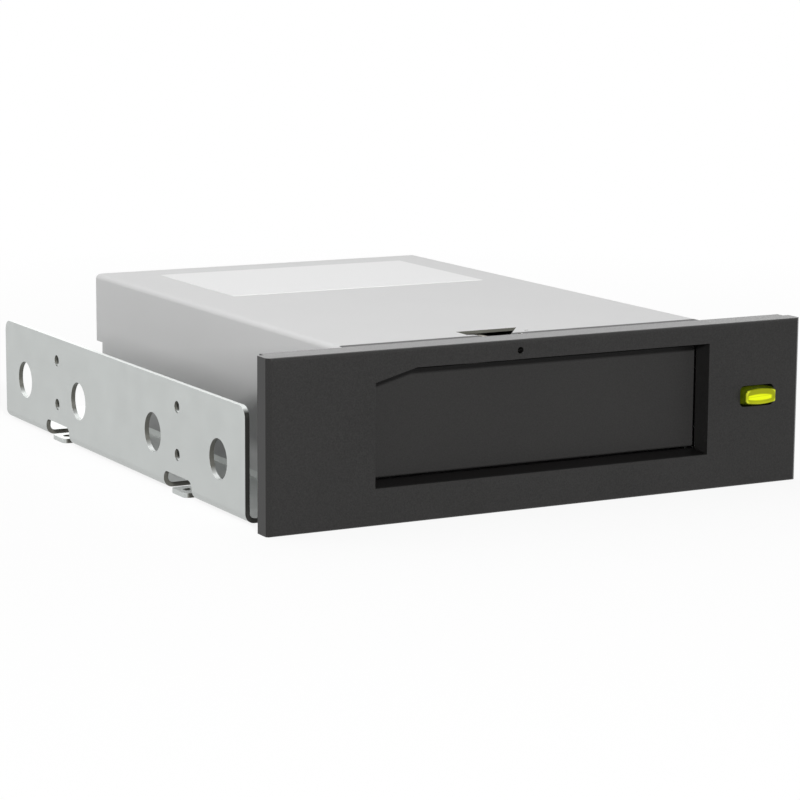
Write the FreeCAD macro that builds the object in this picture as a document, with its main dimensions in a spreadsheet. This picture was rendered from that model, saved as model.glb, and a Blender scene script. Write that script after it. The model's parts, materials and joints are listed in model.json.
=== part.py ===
import FreeCAD
import Part
import Sketcher
import math
import os
from FreeCAD import Placement, Rotation, Vector

# Removable disk cartridge drive for a half-height drive bay.
# Millimetres. X runs to the right seen from the front, Y from the front to the rear, Z up.
# Lengths along Y are given from the bay face, the plane of the bezel's rear side.
# The origin is the centre of the four bottom mounting holes, on the mounting plane.

doc = FreeCAD.newDocument("cartridge_drive")
sheet = doc.addObject("Spreadsheet::Sheet", "Sizes")
sub_parts = {}


class Size:
    """A number together with the sheet expression that it comes from."""

    def __init__(self, value, text):
        self.value = float(value)
        self.text = text

    def _join(self, other, sign, result):
        return Size(result, "({} {} {})".format(self.text, sign, as_size(other).text))

    def __add__(self, other):
        return self._join(other, "+", self.value + as_size(other).value)

    def __sub__(self, other):
        return self._join(other, "-", self.value - as_size(other).value)

    def __mul__(self, other):
        return self._join(other, "*", self.value * as_size(other).value)

    def __truediv__(self, other):
        return self._join(other, "/", self.value / as_size(other).value)

    def __radd__(self, other):
        return as_size(other) + self

    def __rsub__(self, other):
        return as_size(other) - self

    def __rmul__(self, other):
        return as_size(other) * self

    def __neg__(self):
        return Size(-self.value, "(-1 * {})".format(self.text))

    def __float__(self):
        return self.value


def as_size(number):
    """Take a plain number as a Size."""
    if isinstance(number, Size):
        return number
    return Size(number, "({!r})".format(float(number)))


def size(alias, value):
    """Write one driving dimension in the sheet and give it back as a Size."""
    size.row += 1
    cell = "B{}".format(size.row)
    sheet.set("A{}".format(size.row), alias.replace("_", " "))
    sheet.set(cell, repr(value))
    sheet.setAlias(cell, alias)
    return Size(value, "Sizes." + alias)


size.row = 0

# Mounting holes of the drive-bay form factor.
hole_pitch = size("hole_pitch", 79.25)
hole_setback = size("hole_setback", 47.4)
bottom_hole_inset = size("bottom_hole_inset", 3.15)
side_hole_low = size("side_hole_low", 10.0)
side_hole_high = size("side_hole_high", 21.84)
mount_hole_radius = size("mount_hole_radius", 1.5)

# Front bezel.
bezel_width = size("bezel_width", 148.0)
bezel_height = size("bezel_height", 41.3)
bezel_thick = size("bezel_thick", 5.5)
bezel_side_chamfer = size("bezel_side_chamfer", 1.2)
bezel_top_round = size("bezel_top_round", 0.8)
rim_inset = size("rim_inset", 1.7)
rim_wall = size("rim_wall", 1.6)
rim_depth = size("rim_depth", 2.4)
rim_lift = size("rim_lift", 1.0)
window_margin = size("window_margin", 2.7)
window_sill = size("window_sill", 8.85)
window_top = size("window_top", 36.6)
window_slope = size("window_slope", 0.9)
window_side_taper = size("window_side_taper", 0.2)
corner_cut_width = size("corner_cut_width", 10.7)
corner_cut_height = size("corner_cut_height", 2.85)
pinhole_x = size("pinhole_x", -7.7)
pinhole_z = size("pinhole_z", 38.7)
pinhole_radius = size("pinhole_radius", 0.8)
button_offset = size("button_offset", 0.8)
button_z = size("button_z", 22.6)
button_width = size("button_width", 9.6)
button_height = size("button_height", 4.8)
button_reach = size("button_reach", 2.0)
button_face_inset = size("button_face_inset", 0.55)
button_end_share = size("button_end_share", 0.74)
button_hole_corner = size("button_hole_corner", 1.2)
button_gap = size("button_gap", 0.25)
button_flange = size("button_flange", 1.0)
button_flange_thick = size("button_flange_thick", 1.0)
button_flange_start = size("button_flange_start", 0.2)
button_travel = size("button_travel", 0.8)
plunger_radius = size("plunger_radius", 1.2)
plunger_length = size("plunger_length", 3.8)
button_spring_radius = size("button_spring_radius", 2.0)
button_spring_wire = size("button_spring_wire", 0.18)

# Steel shell.
case_margin = size("case_margin", 7.1)
cover_top = size("cover_top", 41.05)
cover_sheet = size("cover_sheet", 0.8)
cover_front = size("cover_front", 3.0)
cover_rear = size("cover_rear", 153.3)
cover_skirt = size("cover_skirt", 3.6)
cover_bend = size("cover_bend", 1.5)
rear_step_height = size("rear_step_height", 22.3)
tray_rear = size("tray_rear", 148.7)
tray_sheet = size("tray_sheet", 1.0)
tray_wall_top = size("tray_wall_top", 30.0)
notch_left = size("notch_left", -14.7)
notch_right = size("notch_right", 2.2)
notch_back = size("notch_back", 13.3)
notch_slant = size("notch_slant", 7.9)
lip_width = size("lip_width", 2.1)
lip_depth = size("lip_depth", 4.8)
lip_round = size("lip_round", 1.9)

# Mounting brackets.
bracket_span = size("bracket_span", 146.0)
bracket_sheet = size("bracket_sheet", 1.2)
bracket_bottom = size("bracket_bottom", 0.4)
bracket_top = size("bracket_top", 28.0)
bracket_length = size("bracket_length", 156.6)
web_margin = size("web_margin", 5.0)
bracket_bend = size("bracket_bend", 2.4)
bracket_corner = size("bracket_corner", 3.0)
bracket_screw_sink = size("bracket_screw_sink", 0.6)
access_radius = size("access_radius", 5.0)
access_height = size("access_height", 13.15)
access_outer_offset = size("access_outer_offset", 63.4)
access_inner_offset = size("access_inner_offset", 24.6)
slot_width = size("slot_width", 16.6)
slot_top = size("slot_top", 4.85)
slot_round = size("slot_round", 2.0)
slot_root = size("slot_root", 12.0)
tongue_width = size("tongue_width", 8.6)
tongue_corner = size("tongue_corner", 1.5)
tongue_ramp = size("tongue_ramp", 2.6)

# Cartridge bay.
bay_width = size("bay_width", 87.4)
bay_floor_top = size("bay_floor_top", 9.8)
bay_floor_thick = size("bay_floor_thick", 1.5)
bay_ceiling = size("bay_ceiling", 35.3)
bay_front = size("bay_front", 4.0)
bay_depth = size("bay_depth", 113.0)
guide_wall = size("guide_wall", 2.3)
column_offset = size("column_offset", 1.0)
column_radius = size("column_radius", 1.9)
cheek_gap = size("cheek_gap", 0.4)
rib_thick = size("rib_thick", 2.0)
leg_radius = size("leg_radius", 3.0)
leg_reach_x = size("leg_reach_x", 34.0)

# Door.
door_thick = size("door_thick", 1.9)
door_setback = size("door_setback", 0.4)
door_gap = size("door_gap", 0.3)
door_top_gap = size("door_top_gap", 1.3)
door_swing_gap = size("door_swing_gap", 1.0)
hinge_y = size("hinge_y", 2.2)
hinge_z = size("hinge_z", 36.8)
hinge_rod_radius = size("hinge_rod_radius", 0.75)
hinge_play = size("hinge_play", 0.05)
knuckle_radius = size("knuckle_radius", 1.5)
knuckle_width = size("knuckle_width", 5.0)
ear_width = size("ear_width", 2.0)
door_rib_x = size("door_rib_x", 22.0)
door_spring_x = size("door_spring_x", 34.0)
door_spring_wire = size("door_spring_wire", 0.2)

# Mechanism over the bay.
deck_sheet = size("deck_sheet", 1.0)
deck_screw_length = size("deck_screw_length", 6.0)
deck_rear = size("deck_rear", 147.0)
slide_lift = size("slide_lift", 0.2)
slide_thick = size("slide_thick", 1.5)
slide_play = size("slide_play", 0.15)
eject_travel = size("eject_travel", 14.0)
slide_left = size("slide_left", 13.2)
slide_width = size("slide_width", 11.0)
slide_front = size("slide_front", 66.0)
slide_rear = size("slide_rear", 141.0)
stud_radius = size("stud_radius", 1.5)
stud_head_radius = size("stud_head_radius", 2.7)
stud_head_thick = size("stud_head_thick", 0.6)
front_stud_y = size("front_stud_y", 70.0)
rear_stud_y = size("rear_stud_y", 90.0)
pusher_width = size("pusher_width", 6.0)
pusher_thick = size("pusher_thick", 1.5)
pusher_y = size("pusher_y", 114.2)
pusher_reach = size("pusher_reach", 6.0)
gear_module = size("gear_module", 0.8)
gear_thick = size("gear_thick", 1.2)
gear_lift = size("gear_lift", 0.3)
gear_y = size("gear_y", 122.0)
gear_post_radius = size("gear_post_radius", 1.0)
motor_setback = size("motor_setback", 11.0)
motor_radius = size("motor_radius", 7.6)
motor_flat = size("motor_flat", 6.0)
motor_length = size("motor_length", 20.0)
motor_shaft_radius = size("motor_shaft_radius", 0.75)
motor_boss_radius = size("motor_boss_radius", 2.5)
gear_play = size("gear_play", 0.05)
gear_backlash = size("gear_backlash", 0.16)
rack_root = size("rack_root", 0.88)
rack_tip = size("rack_tip", 0.64)
release_guide_y = size("release_guide_y", 36.0)
release_width = size("release_width", 3.0)
release_thick = size("release_thick", 1.4)
release_front = size("release_front", 4.6)
release_rear = size("release_rear", 44.4)
release_top = size("release_top", 39.5)
release_travel = size("release_travel", 4.0)
latch_x = size("latch_x", -38.0)
latch_y = size("latch_y", 46.0)
latch_arm = size("latch_arm", 32.0)
latch_arm_width = size("latch_arm_width", 2.6)
latch_post_radius = size("latch_post_radius", 1.5)
hook_y = size("hook_y", 66.0)
hook_length = size("hook_length", 6.0)
hook_thick = size("hook_thick", 2.6)
hook_bite = size("hook_bite", 1.2)
hook_drop = size("hook_drop", 7.5)
latch_gap = size("latch_gap", 0.3)
latch_spring_wire = size("latch_spring_wire", 0.22)

# Electronics.
board_thick = size("board_thick", 1.6)
board_height = size("board_height", 5.4)
board_front = size("board_front", 12.5)
board_rear = size("board_rear", 146.0)
board_half_width = size("board_half_width", 44.8)
controller_x = size("controller_x", -4.0)
controller_y = size("controller_y", 84.0)
controller_side = size("controller_side", 14.0)
memory_width = size("memory_width", 6.0)
memory_depth = size("memory_depth", 5.0)
chip_gap = size("chip_gap", 12.0)
chip_height = size("chip_height", 1.0)
regulator_x = size("regulator_x", -36.0)
regulator_y = size("regulator_y", 128.0)
regulator_side = size("regulator_side", 8.0)
regulator_height = size("regulator_height", 3.0)
capacitor_x = size("capacitor_x", 24.0)
capacitor_y = size("capacitor_y", 130.0)
capacitor_radius = size("capacitor_radius", 3.15)
capacitor_height = size("capacitor_height", 7.7)
riser_y = size("riser_y", 118.0)
riser_half_width = size("riser_half_width", 21.0)
host_left = size("host_left", -26.0)
host_width = size("host_width", 42.0)
host_height = size("host_height", 6.5)
host_depth = size("host_depth", 11.5)
host_proud = size("host_proud", 1.5)
bay_plug_z = size("bay_plug_z", 14.0)
bay_plug_height = size("bay_plug_height", 6.0)
bay_plug_depth = size("bay_plug_depth", 8.0)
panel_board_y = size("panel_board_y", 8.0)
panel_case_gap = size("panel_case_gap", 2.2)
panel_rim_gap = size("panel_rim_gap", 1.2)
panel_board_bottom = size("panel_board_bottom", 8.0)
panel_board_height = size("panel_board_height", 23.0)
cable_width = size("cable_width", 5.0)
cable_thick = size("cable_thick", 0.3)
cable_bend = size("cable_bend", 2.5)
cable_y = size("cable_y", 16.0)
cable_bottom = size("cable_bottom", 9.0)
cable_slot_margin = size("cable_slot_margin", 0.8)
panel_socket_inset = size("panel_socket_inset", 3.0)
main_socket_inset = size("main_socket_inset", 1.6)
socket_depth = size("socket_depth", 2.0)
socket_length = size("socket_length", 5.0)
switch_width = size("switch_width", 6.0)
switch_depth = size("switch_depth", 1.4)
switch_cap_radius = size("switch_cap_radius", 1.6)
light_offset = size("light_offset", 4.6)

# Label and fasteners.
label_left = size("label_left", -36.0)
label_width = size("label_width", 75.5)
label_front = size("label_front", 94.0)
label_depth = size("label_depth", 48.0)
label_thick = size("label_thick", 0.1)
screw_radius = size("screw_radius", 1.45)
screw_head_radius = size("screw_head_radius", 2.7)
screw_head_thick = size("screw_head_thick", 0.85)
thread_play = size("thread_play", 0.05)
small_screw_radius = size("small_screw_radius", 1.0)
small_head_radius = size("small_head_radius", 1.9)
small_head_thick = size("small_head_thick", 0.9)
bezel_lug_x = size("bezel_lug_x", 30.0)
bezel_lug_depth = size("bezel_lug_depth", 10.5)
bezel_screw_y = size("bezel_screw_y", 6.8)
bracket_screw_x = size("bracket_screw_x", 42.0)
bracket_screw_offset = size("bracket_screw_offset", 44.45)
leg_front_y = size("leg_front_y", 16.5)
leg_middle_y = size("leg_middle_y", 62.0)
leg_rear_y = size("leg_rear_y", 108.0)
board_screw_x = size("board_screw_x", 40.0)
board_screw_front_y = size("board_screw_front_y", 30.0)
board_screw_rear_y = size("board_screw_rear_y", 139.0)
column_rear_y = size("column_rear_y", 92.0)
pillar_y = size("pillar_y", 141.0)

# Places that follow from the sizes above.
bay_face_y = -(hole_setback + hole_pitch / 2)
holes_centre_y = hole_setback + hole_pitch / 2
hole_rows_y = [hole_setback, hole_setback + hole_pitch]
bay_half = bay_width / 2
window_half_width = bay_half + window_margin
body_half = bay_half + case_margin
body_width = body_half * 2
bottom_hole_span = bracket_span - bottom_hole_inset * 2
bracket_web = bracket_span / 2 - bracket_screw_x + web_margin
button_x = (window_half_width + bezel_width / 2) / 2 + button_offset
panel_board_left = body_half + panel_case_gap
panel_board_width = bezel_width / 2 - rim_inset - rim_wall - panel_rim_gap - panel_board_left
cable_panel_x = panel_board_left + panel_socket_inset
cover_inside_top = cover_top - cover_sheet
cover_inside_half = body_half - cover_sheet
tray_bottom = bracket_bottom + bracket_sheet
tray_floor_top = tray_bottom + tray_sheet
tray_outside_half = cover_inside_half
tray_inside_half = tray_outside_half - tray_sheet
tray_front = cover_front + 0.6
window_rear_sill = window_sill + window_slope
window_rear_half = window_half_width - window_side_taper
window_rear_top = window_top - window_side_taper
bay_rear = bay_front + bay_depth
guide_outside_half = bay_half + guide_wall
column_x = guide_outside_half + column_offset
main_socket_x = tray_inside_half - main_socket_inset
guide_front = hinge_y + hinge_z - window_rear_sill + door_swing_gap
deck_front = guide_front + 1.75
column_front_y = deck_front + 2.0
column_rows_y = [column_front_y, column_rear_y]
leg_rows_y = [leg_front_y, leg_middle_y, leg_rear_y]
board_screw_rows_y = [board_screw_front_y, board_screw_rear_y]
bracket_screw_rows_y = [holes_centre_y - bracket_screw_offset, holes_centre_y + bracket_screw_offset]
deck_top = bay_ceiling + deck_sheet
deck_half = tray_inside_half - 0.2
slide_bottom = deck_top + slide_lift
slide_top = slide_bottom + slide_thick
gear_bottom = slide_top + gear_lift
gear_top = gear_bottom + gear_thick
board_top = board_height + board_thick
access_rows_y = [
    holes_centre_y - access_outer_offset,
    holes_centre_y - access_inner_offset,
    holes_centre_y + access_inner_offset,
    holes_centre_y + access_outer_offset,
]
side_screw_rows_y = access_rows_y[1:3]

# Gear train: the motor's pinion turns the large wheel, whose small pinion drives the rack.
PRESSURE_ANGLE = 25.0
PINION_TEETH = 10
WHEEL_TEETH = 30
gear_x = slide_left - rack_root - gear_module * PINION_TEETH / 2
gear_distance = gear_module * (PINION_TEETH + WHEEL_TEETH) / 2
motor_y = gear_y + motor_setback
motor_across = math.sqrt(gear_distance.value ** 2 - motor_setback.value ** 2)
motor_x = gear_x - as_size(motor_across)

AXIS_TURNS = {
    "x": Rotation(Vector(0, 1, 0), 90),
    "y": Rotation(Vector(1, 0, 0), -90),
    "z": Rotation(),
}
PLANE_ROLES = {"XY": "XY_Plane", "XZ": "XZ_Plane", "YZ": "YZ_Plane"}
OVERSHOOT = as_size(1.0)


class Disc:
    """A circle in a sketch."""

    def __init__(self, x, y, radius):
        self.x = as_size(x)
        self.y = as_size(y)
        self.radius = as_size(radius)


def bind(thing, prop, length):
    """Tie a property to a Size."""
    thing.setExpression(prop, as_size(length).text)


def place(thing, x, y, z):
    bind(thing, "Placement.Base.x", x)
    bind(thing, "Placement.Base.y", y)
    bind(thing, "Placement.Base.z", z)


def block(x, y, z):
    """A box between a low and a high end along each axis."""
    box = doc.addObject("Part::Box", "block")
    bind(box, "Length", x[1] - x[0])
    bind(box, "Width", y[1] - y[0])
    bind(box, "Height", z[1] - z[0])
    place(box, x[0], y[0], z[0])
    return box


def bar(axis, x, y, z, radius, length):
    """A round bar that starts at a point and runs along an axis."""
    cylinder = doc.addObject("Part::Cylinder", "bar")
    cylinder.Placement = Placement(Vector(), AXIS_TURNS[axis])
    bind(cylinder, "Radius", radius)
    bind(cylinder, "Height", length)
    place(cylinder, x, y, z)
    return cylinder


def fuse(*shapes):
    joined = doc.addObject("Part::MultiFuse", "joined")
    joined.Shapes = list(shapes)
    joined.Refine = True
    return joined


def group(*shapes):
    bundle = doc.addObject("Part::Compound", "bundle")
    bundle.Links = list(shapes)
    return bundle


def cut(base, *tools):
    trimmed = doc.addObject("Part::Cut", "trimmed")
    trimmed.Base = base
    trimmed.Tool = tools[0] if len(tools) == 1 else fuse(*tools)
    return trimmed


def set_shape(name, shape):
    """A feature whose shape is worked out here from the sizes."""
    feature = doc.addObject("Part::Feature", name)
    feature.Shape = shape
    return feature


def sub_part(node, thing):
    """Name a piece and set it behind the bay face."""
    if thing.TypeId in ("Part::Box", "Part::Cylinder", "Part::Feature"):
        thing = group(thing)
    thing.Label = node
    bind(thing, "Placement.Base.y", bay_face_y)
    sub_parts[node] = thing
    return thing


def mirrored(node, source):
    """The same piece on the other side of the middle plane."""
    twin = doc.addObject("Part::Mirroring", node)
    twin.Source = source
    twin.Normal = Vector(1, 0, 0)
    twin.Label = node
    sub_parts[node] = twin
    return twin


def new_body(node):
    body = doc.addObject("PartDesign::Body", "body_" + node)
    return body


def rectangle(a, b):
    """Corners of a rectangle between low and high ends in a sketch."""
    return [(a[0], b[0]), (a[1], b[0]), (a[1], b[1]), (a[0], b[1])]


def pin_point(sketch, geometry, point, x, y):
    """Hold one point of a sketch at its distances from the sketch's origin."""
    for kind, length in (("DistanceX", as_size(x)), ("DistanceY", as_size(y))):
        rule = Sketcher.Constraint(kind, -1, 1, geometry, point, length.value)
        index = sketch.addConstraint(rule)
        bind(sketch, "Constraints[{}]".format(index), length)


def draw_polygon(sketch, corners):
    first = sketch.GeometryCount
    points = [Vector(float(x), float(y), 0) for x, y in corners]
    for start, end in zip(points, points[1:] + points[:1]):
        sketch.addGeometry(Part.LineSegment(start, end), False)
    for i in range(len(points)):
        following = first + (i + 1) % len(points)
        sketch.addConstraint(Sketcher.Constraint("Coincident", first + i, 2, following, 1))
    for i, (x, y) in enumerate(corners):
        pin_point(sketch, first + i, 1, x, y)


def draw_disc(sketch, disc):
    circle = Part.Circle(Vector(disc.x.value, disc.y.value, 0), Vector(0, 0, 1), disc.radius.value)
    number = sketch.addGeometry(circle, False)
    pin_point(sketch, number, 3, disc.x, disc.y)
    index = sketch.addConstraint(Sketcher.Constraint("Radius", number, disc.radius.value))
    bind(sketch, "Constraints[{}]".format(index), disc.radius)


def draw(body, plane, level, loops):
    """A sketch on one of the body's own planes, at a level along the plane's axis."""
    sketch = body.newObject("Sketcher::SketchObject", body.Name + "_sketch")
    origin_planes = body.Origin.OriginFeatures
    support = [item for item in origin_planes if item.Role == PLANE_ROLES[plane]][0]
    sketch.AttachmentSupport = [(support, "")]
    sketch.MapMode = "FlatFace"
    way = -1 if plane == "XZ" else 1
    bind(sketch, "AttachmentOffset.Base.z", as_size(level) * way)
    for loop in loops:
        if isinstance(loop, Disc):
            draw_disc(sketch, loop)
        else:
            draw_polygon(sketch, loop)
    return sketch


def pad(body, plane, start, depth, *loops):
    """Add material from a level towards the axis' positive end."""
    sketch = draw(body, plane, start, loops)
    feature = body.newObject("PartDesign::Pad", body.Name + "_pad")
    feature.Profile = sketch
    bind(feature, "Length", depth)
    feature.Reversed = plane == "XZ"
    return feature


def pocket(body, plane, start, depth, *loops):
    """Cut material from a level towards the axis' positive end."""
    sketch = draw(body, plane, start, loops)
    feature = body.newObject("PartDesign::Pocket", body.Name + "_pocket")
    feature.Profile = sketch
    bind(feature, "Length", depth)
    feature.Reversed = plane != "XZ"
    return feature


def edges_at(shape, axis, spots):
    """Names of straight edges along an axis whose middle is at one of the spots; None is free."""
    names = []
    for i, edge in enumerate(shape.Edges):
        if edge.Curve.TypeId != "Part::GeomLine":
            continue
        direction = edge.tangentAt(edge.FirstParameter)
        if abs(abs(getattr(direction, axis)) - 1) > 1e-6:
            continue
        middle = edge.CenterOfMass
        for spot in spots:
            gaps = [abs(middle[k] - float(s)) for k, s in enumerate(spot) if s is not None]
            if max(gaps) < 1e-4:
                names.append("Edge{}".format(i + 1))
                break
    return names


def dress(body, kind, prop, length, axis, spots):
    doc.recompute()
    base = body.Tip
    feature = body.newObject("PartDesign::" + kind, body.Name + "_" + kind.lower())
    feature.Base = (base, edges_at(base.Shape, axis, spots))
    bind(feature, prop, length)
    return feature


def fillet(body, radius, axis, *spots):
    return dress(body, "Fillet", "Radius", radius, axis, spots)


def chamfer(body, length, axis, *spots):
    return dress(body, "Chamfer", "Size", length, axis, spots)


def middle_of(low, high):
    return (low + high) / 2


def front_bezel():
    """Moulded front plate with its window, holes, rear rim, hinge ears, bosses and lugs."""
    body = new_body("front_bezel")
    half = bezel_width / 2
    face_y = -bezel_thick
    pad(body, "XZ", face_y, bezel_thick, rectangle((-half, half), (as_size(0), bezel_height)))
    chamfer(body, bezel_side_chamfer, "z", (-half, face_y, None), (half, face_y, None))
    fillet(body, bezel_top_round, "x", (None, face_y, bezel_height), (None, face_y, 0))
    rim_half = half - rim_inset
    rim_outer = rectangle((-rim_half, rim_half), (rim_lift, bezel_height))
    inner_half = rim_half - rim_wall
    rim_inner = rectangle((-inner_half, inner_half), (rim_lift + rim_wall, bezel_height - rim_wall))
    pad(body, "XZ", as_size(0), rim_depth, rim_outer, rim_inner)

    left = -window_half_width
    front_outline = [
        (left, window_sill),
        (window_half_width, window_sill),
        (window_half_width, window_top),
        (left + corner_cut_width, window_top),
        (left, window_top - corner_cut_height),
    ]
    rear_left = -window_rear_half
    rear_outline = [
        (rear_left, window_rear_sill),
        (window_rear_half, window_rear_sill),
        (window_rear_half, window_rear_top),
        (left + corner_cut_width, window_rear_top),
        (rear_left, window_rear_top - corner_cut_height),
    ]
    window = body.newObject("PartDesign::SubtractiveLoft", "window")
    window.Profile = draw(body, "XZ", face_y, [front_outline])
    window.Sections = [draw(body, "XZ", as_size(0), [rear_outline])]
    window.Ruled = True

    through = bezel_thick + OVERSHOOT * 2
    pocket(body, "XZ", face_y - OVERSHOOT, through, Disc(pinhole_x, pinhole_z, pinhole_radius))
    hole_half_width = button_width / 2 + button_gap
    hole_half_height = button_height / 2 + button_gap
    hole_x = (button_x - hole_half_width, button_x + hole_half_width)
    hole_z = (button_z - hole_half_height, button_z + hole_half_height)
    pocket(body, "XZ", face_y - OVERSHOOT, through, rectangle(hole_x, hole_z))
    corners = [(x, None, z) for x in hole_x for z in hole_z]
    fillet(body, button_hole_corner, "y", *corners)

    ear_in = window_rear_half + 0.1
    ear_z = (hinge_z - 2.3, bezel_height - rim_wall)
    for low, high in ((-ear_in - ear_width, -ear_in), (ear_in, ear_in + ear_width)):
        pad(body, "XZ", as_size(0), hinge_y + 1.8, rectangle((low, high), ear_z))
    rod_half = ear_in + ear_width / 2 + hinge_play
    pocket(body, "YZ", -rod_half, rod_half * 2, Disc(hinge_y, hinge_z, hinge_rod_radius))

    for x, z in panel_boss_spots():
        pad(body, "XZ", as_size(0), panel_board_y, Disc(x, z, 2.0))
        pocket(body, "XZ", OVERSHOOT * 2, panel_board_y, Disc(x, z, small_screw_radius + thread_play))

    lug_z = (tray_floor_top, bay_floor_top - bay_floor_thick - 0.3)
    for x in (-bezel_lug_x, bezel_lug_x):
        pad(body, "XZ", as_size(0), bezel_lug_depth, rectangle((x - 3.5, x + 3.5), lug_z))
        hole = Disc(x, bezel_screw_y, screw_radius + thread_play)
        pocket(body, "XY", tray_floor_top - OVERSHOOT, OVERSHOOT + 4.0, hole)
    return sub_part("front_bezel", body)


def panel_boss_spots():
    """Places of the two bosses that carry the button board."""
    low = (panel_board_left + panel_board_width - 2.4, panel_board_bottom + 2.6)
    high = (panel_board_left + 2.4, panel_board_bottom + panel_board_height - 2.6)
    return [low, high]


def mounting_bracket():
    """Plated steel angle: wall, bend, web, access holes, screw holes and two lowered pads."""
    body = new_body("bracket_left")
    outer = -(bracket_span / 2)
    inner = outer + bracket_sheet
    web_end = outer + bracket_web
    bottom = bracket_bottom
    start = holes_centre_y - bracket_length / 2
    angle = [
        (outer, bottom),
        (web_end, bottom),
        (web_end, bottom + bracket_sheet),
        (inner, bottom + bracket_sheet),
        (inner, bracket_top),
        (outer, bracket_top),
    ]
    pad(body, "XZ", start, bracket_length, angle)
    fillet(body, bracket_bend, "y", (outer, None, bottom))
    fillet(body, bracket_bend - bracket_sheet, "y", (inner, None, bottom + bracket_sheet))
    ends = (start, start + bracket_length)
    fillet(body, bracket_corner, "x", *[(None, y, bracket_top) for y in ends])

    wall_start = outer - OVERSHOOT
    wall_depth = bracket_sheet + OVERSHOOT * 2
    discs = [Disc(y, access_height, access_radius) for y in access_rows_y]
    for y in hole_rows_y:
        discs += [Disc(y, z, mount_hole_radius) for z in (side_hole_low, side_hole_high)]
    pocket(body, "YZ", wall_start, wall_depth, *discs)

    root = outer + slot_root
    half_slot = slot_width / 2
    round_z = slot_top - slot_round
    for y in hole_rows_y:
        wide = rectangle((y - half_slot, y + half_slot), (bottom - OVERSHOOT, round_z))
        narrow = rectangle((y - half_slot + slot_round, y + half_slot - slot_round), (round_z - 0.5, slot_top))
        rounds = [Disc(y + way * (half_slot - slot_round), round_z, slot_round) for way in (-1, 1)]
        pocket(body, "YZ", wall_start, slot_root + OVERSHOOT, wide)
        pocket(body, "YZ", wall_start, slot_root + OVERSHOOT, narrow)
        pocket(body, "YZ", wall_start, slot_root + OVERSHOOT, *rounds)

    ramp = root - tongue_ramp
    tongue = [
        (root + 0.5, bottom),
        (root + 0.5, bottom + bracket_sheet),
        (root, bottom + bracket_sheet),
        (ramp, bracket_sheet),
        (outer, bracket_sheet),
        (outer, as_size(0)),
        (ramp, as_size(0)),
        (root, bottom),
    ]
    for y in hole_rows_y:
        pad(body, "XZ", y - tongue_width / 2, tongue_width, tongue)
    tongue_sides = [y + way * tongue_width / 2 for y in hole_rows_y for way in (-1, 1)]
    fillet(body, tongue_corner, "z", *[(outer, y, None) for y in tongue_sides])

    hole_x = -(bottom_hole_span / 2)
    pocket(body, "XY", -OVERSHOOT, OVERSHOOT * 4, *[Disc(hole_x, y, mount_hole_radius) for y in hole_rows_y])
    screw_holes = [Disc(-bracket_screw_x, y, screw_radius + 0.15) for y in bracket_screw_rows_y]
    pocket(body, "XY", bottom - OVERSHOOT, bracket_sheet + OVERSHOOT * 2, *screw_holes)
    head_seats = [Disc(-bracket_screw_x, y, screw_head_radius + 0.2) for y in bracket_screw_rows_y]
    pocket(body, "XY", bottom - OVERSHOOT, bracket_screw_sink + OVERSHOOT, *head_seats)
    return sub_part("bracket_left", body)


def top_cover():
    """Folded steel cover with its front notch, stepped rear end and cable slot."""
    body = new_body("top_cover")
    length = cover_rear - cover_front
    skirt_to_top = (cover_skirt, cover_top)
    pad(body, "XZ", cover_front, length, rectangle((-body_half, body_half), skirt_to_top))
    fillet(body, cover_bend, "y", (-body_half, None, cover_top), (body_half, None, cover_top))
    inside = rectangle((-cover_inside_half, cover_inside_half), (cover_skirt - OVERSHOOT, cover_inside_top))
    inside_length = length - cover_sheet + OVERSHOOT
    pocket(body, "XZ", cover_front - OVERSHOOT, inside_length, inside)
    inside_corners = [(x, None, cover_inside_top) for x in (-cover_inside_half, cover_inside_half)]
    fillet(body, cover_bend - cover_sheet, "y", *inside_corners)
    fillet(body, cover_sheet * 0.9, "x", (None, cover_rear, cover_top))
    step_y = (tray_rear, cover_rear + OVERSHOOT)
    step = rectangle(step_y, (cover_skirt - OVERSHOOT, rear_step_height))
    pocket(body, "YZ", -body_half - OVERSHOOT, body_width + OVERSHOOT * 2, step)

    lip_x = notch_left + lip_width
    lip_y = cover_front + lip_depth
    front_y = cover_front - OVERSHOOT
    slant_run = notch_slant * (notch_back - front_y) / (notch_back - cover_front)
    notch = [
        (notch_left, notch_back),
        (notch_left, lip_y),
        (lip_x, lip_y),
        (lip_x, front_y),
        (notch_right - slant_run, front_y),
        (notch_right, notch_back),
    ]
    top_cut = cover_inside_top - OVERSHOOT
    pocket(body, "XY", top_cut, cover_sheet + OVERSHOOT * 2, notch)
    fillet(body, lip_round, "z", (lip_x, lip_y, None))
    peep_hole = Disc(notch_right - 4.1, cover_front + 1.6, 0.7)
    slit = rectangle((notch_right - 0.6, notch_right + 0.5), (cover_front + 5.0, cover_front + 5.6))
    pocket(body, "XY", top_cut, cover_sheet + OVERSHOOT * 2, peep_hole, slit)

    screw_holes = [Disc(y, access_height, screw_radius + 0.15) for y in side_screw_rows_y]
    pocket(body, "YZ", -body_half - OVERSHOOT, body_width + OVERSHOOT * 2, *screw_holes)
    pocket(body, "YZ", cover_inside_half - OVERSHOOT, cover_sheet + OVERSHOOT * 2, cable_slot())
    return sub_part("top_cover", body)


def cable_slot():
    """Window in the side walls that the button cable passes through."""
    across = (cable_y - cable_slot_margin, cable_y + cable_slot_margin)
    up = (cable_bottom - cable_slot_margin, cable_bottom + cable_width + cable_slot_margin)
    return rectangle(across, up)


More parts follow.
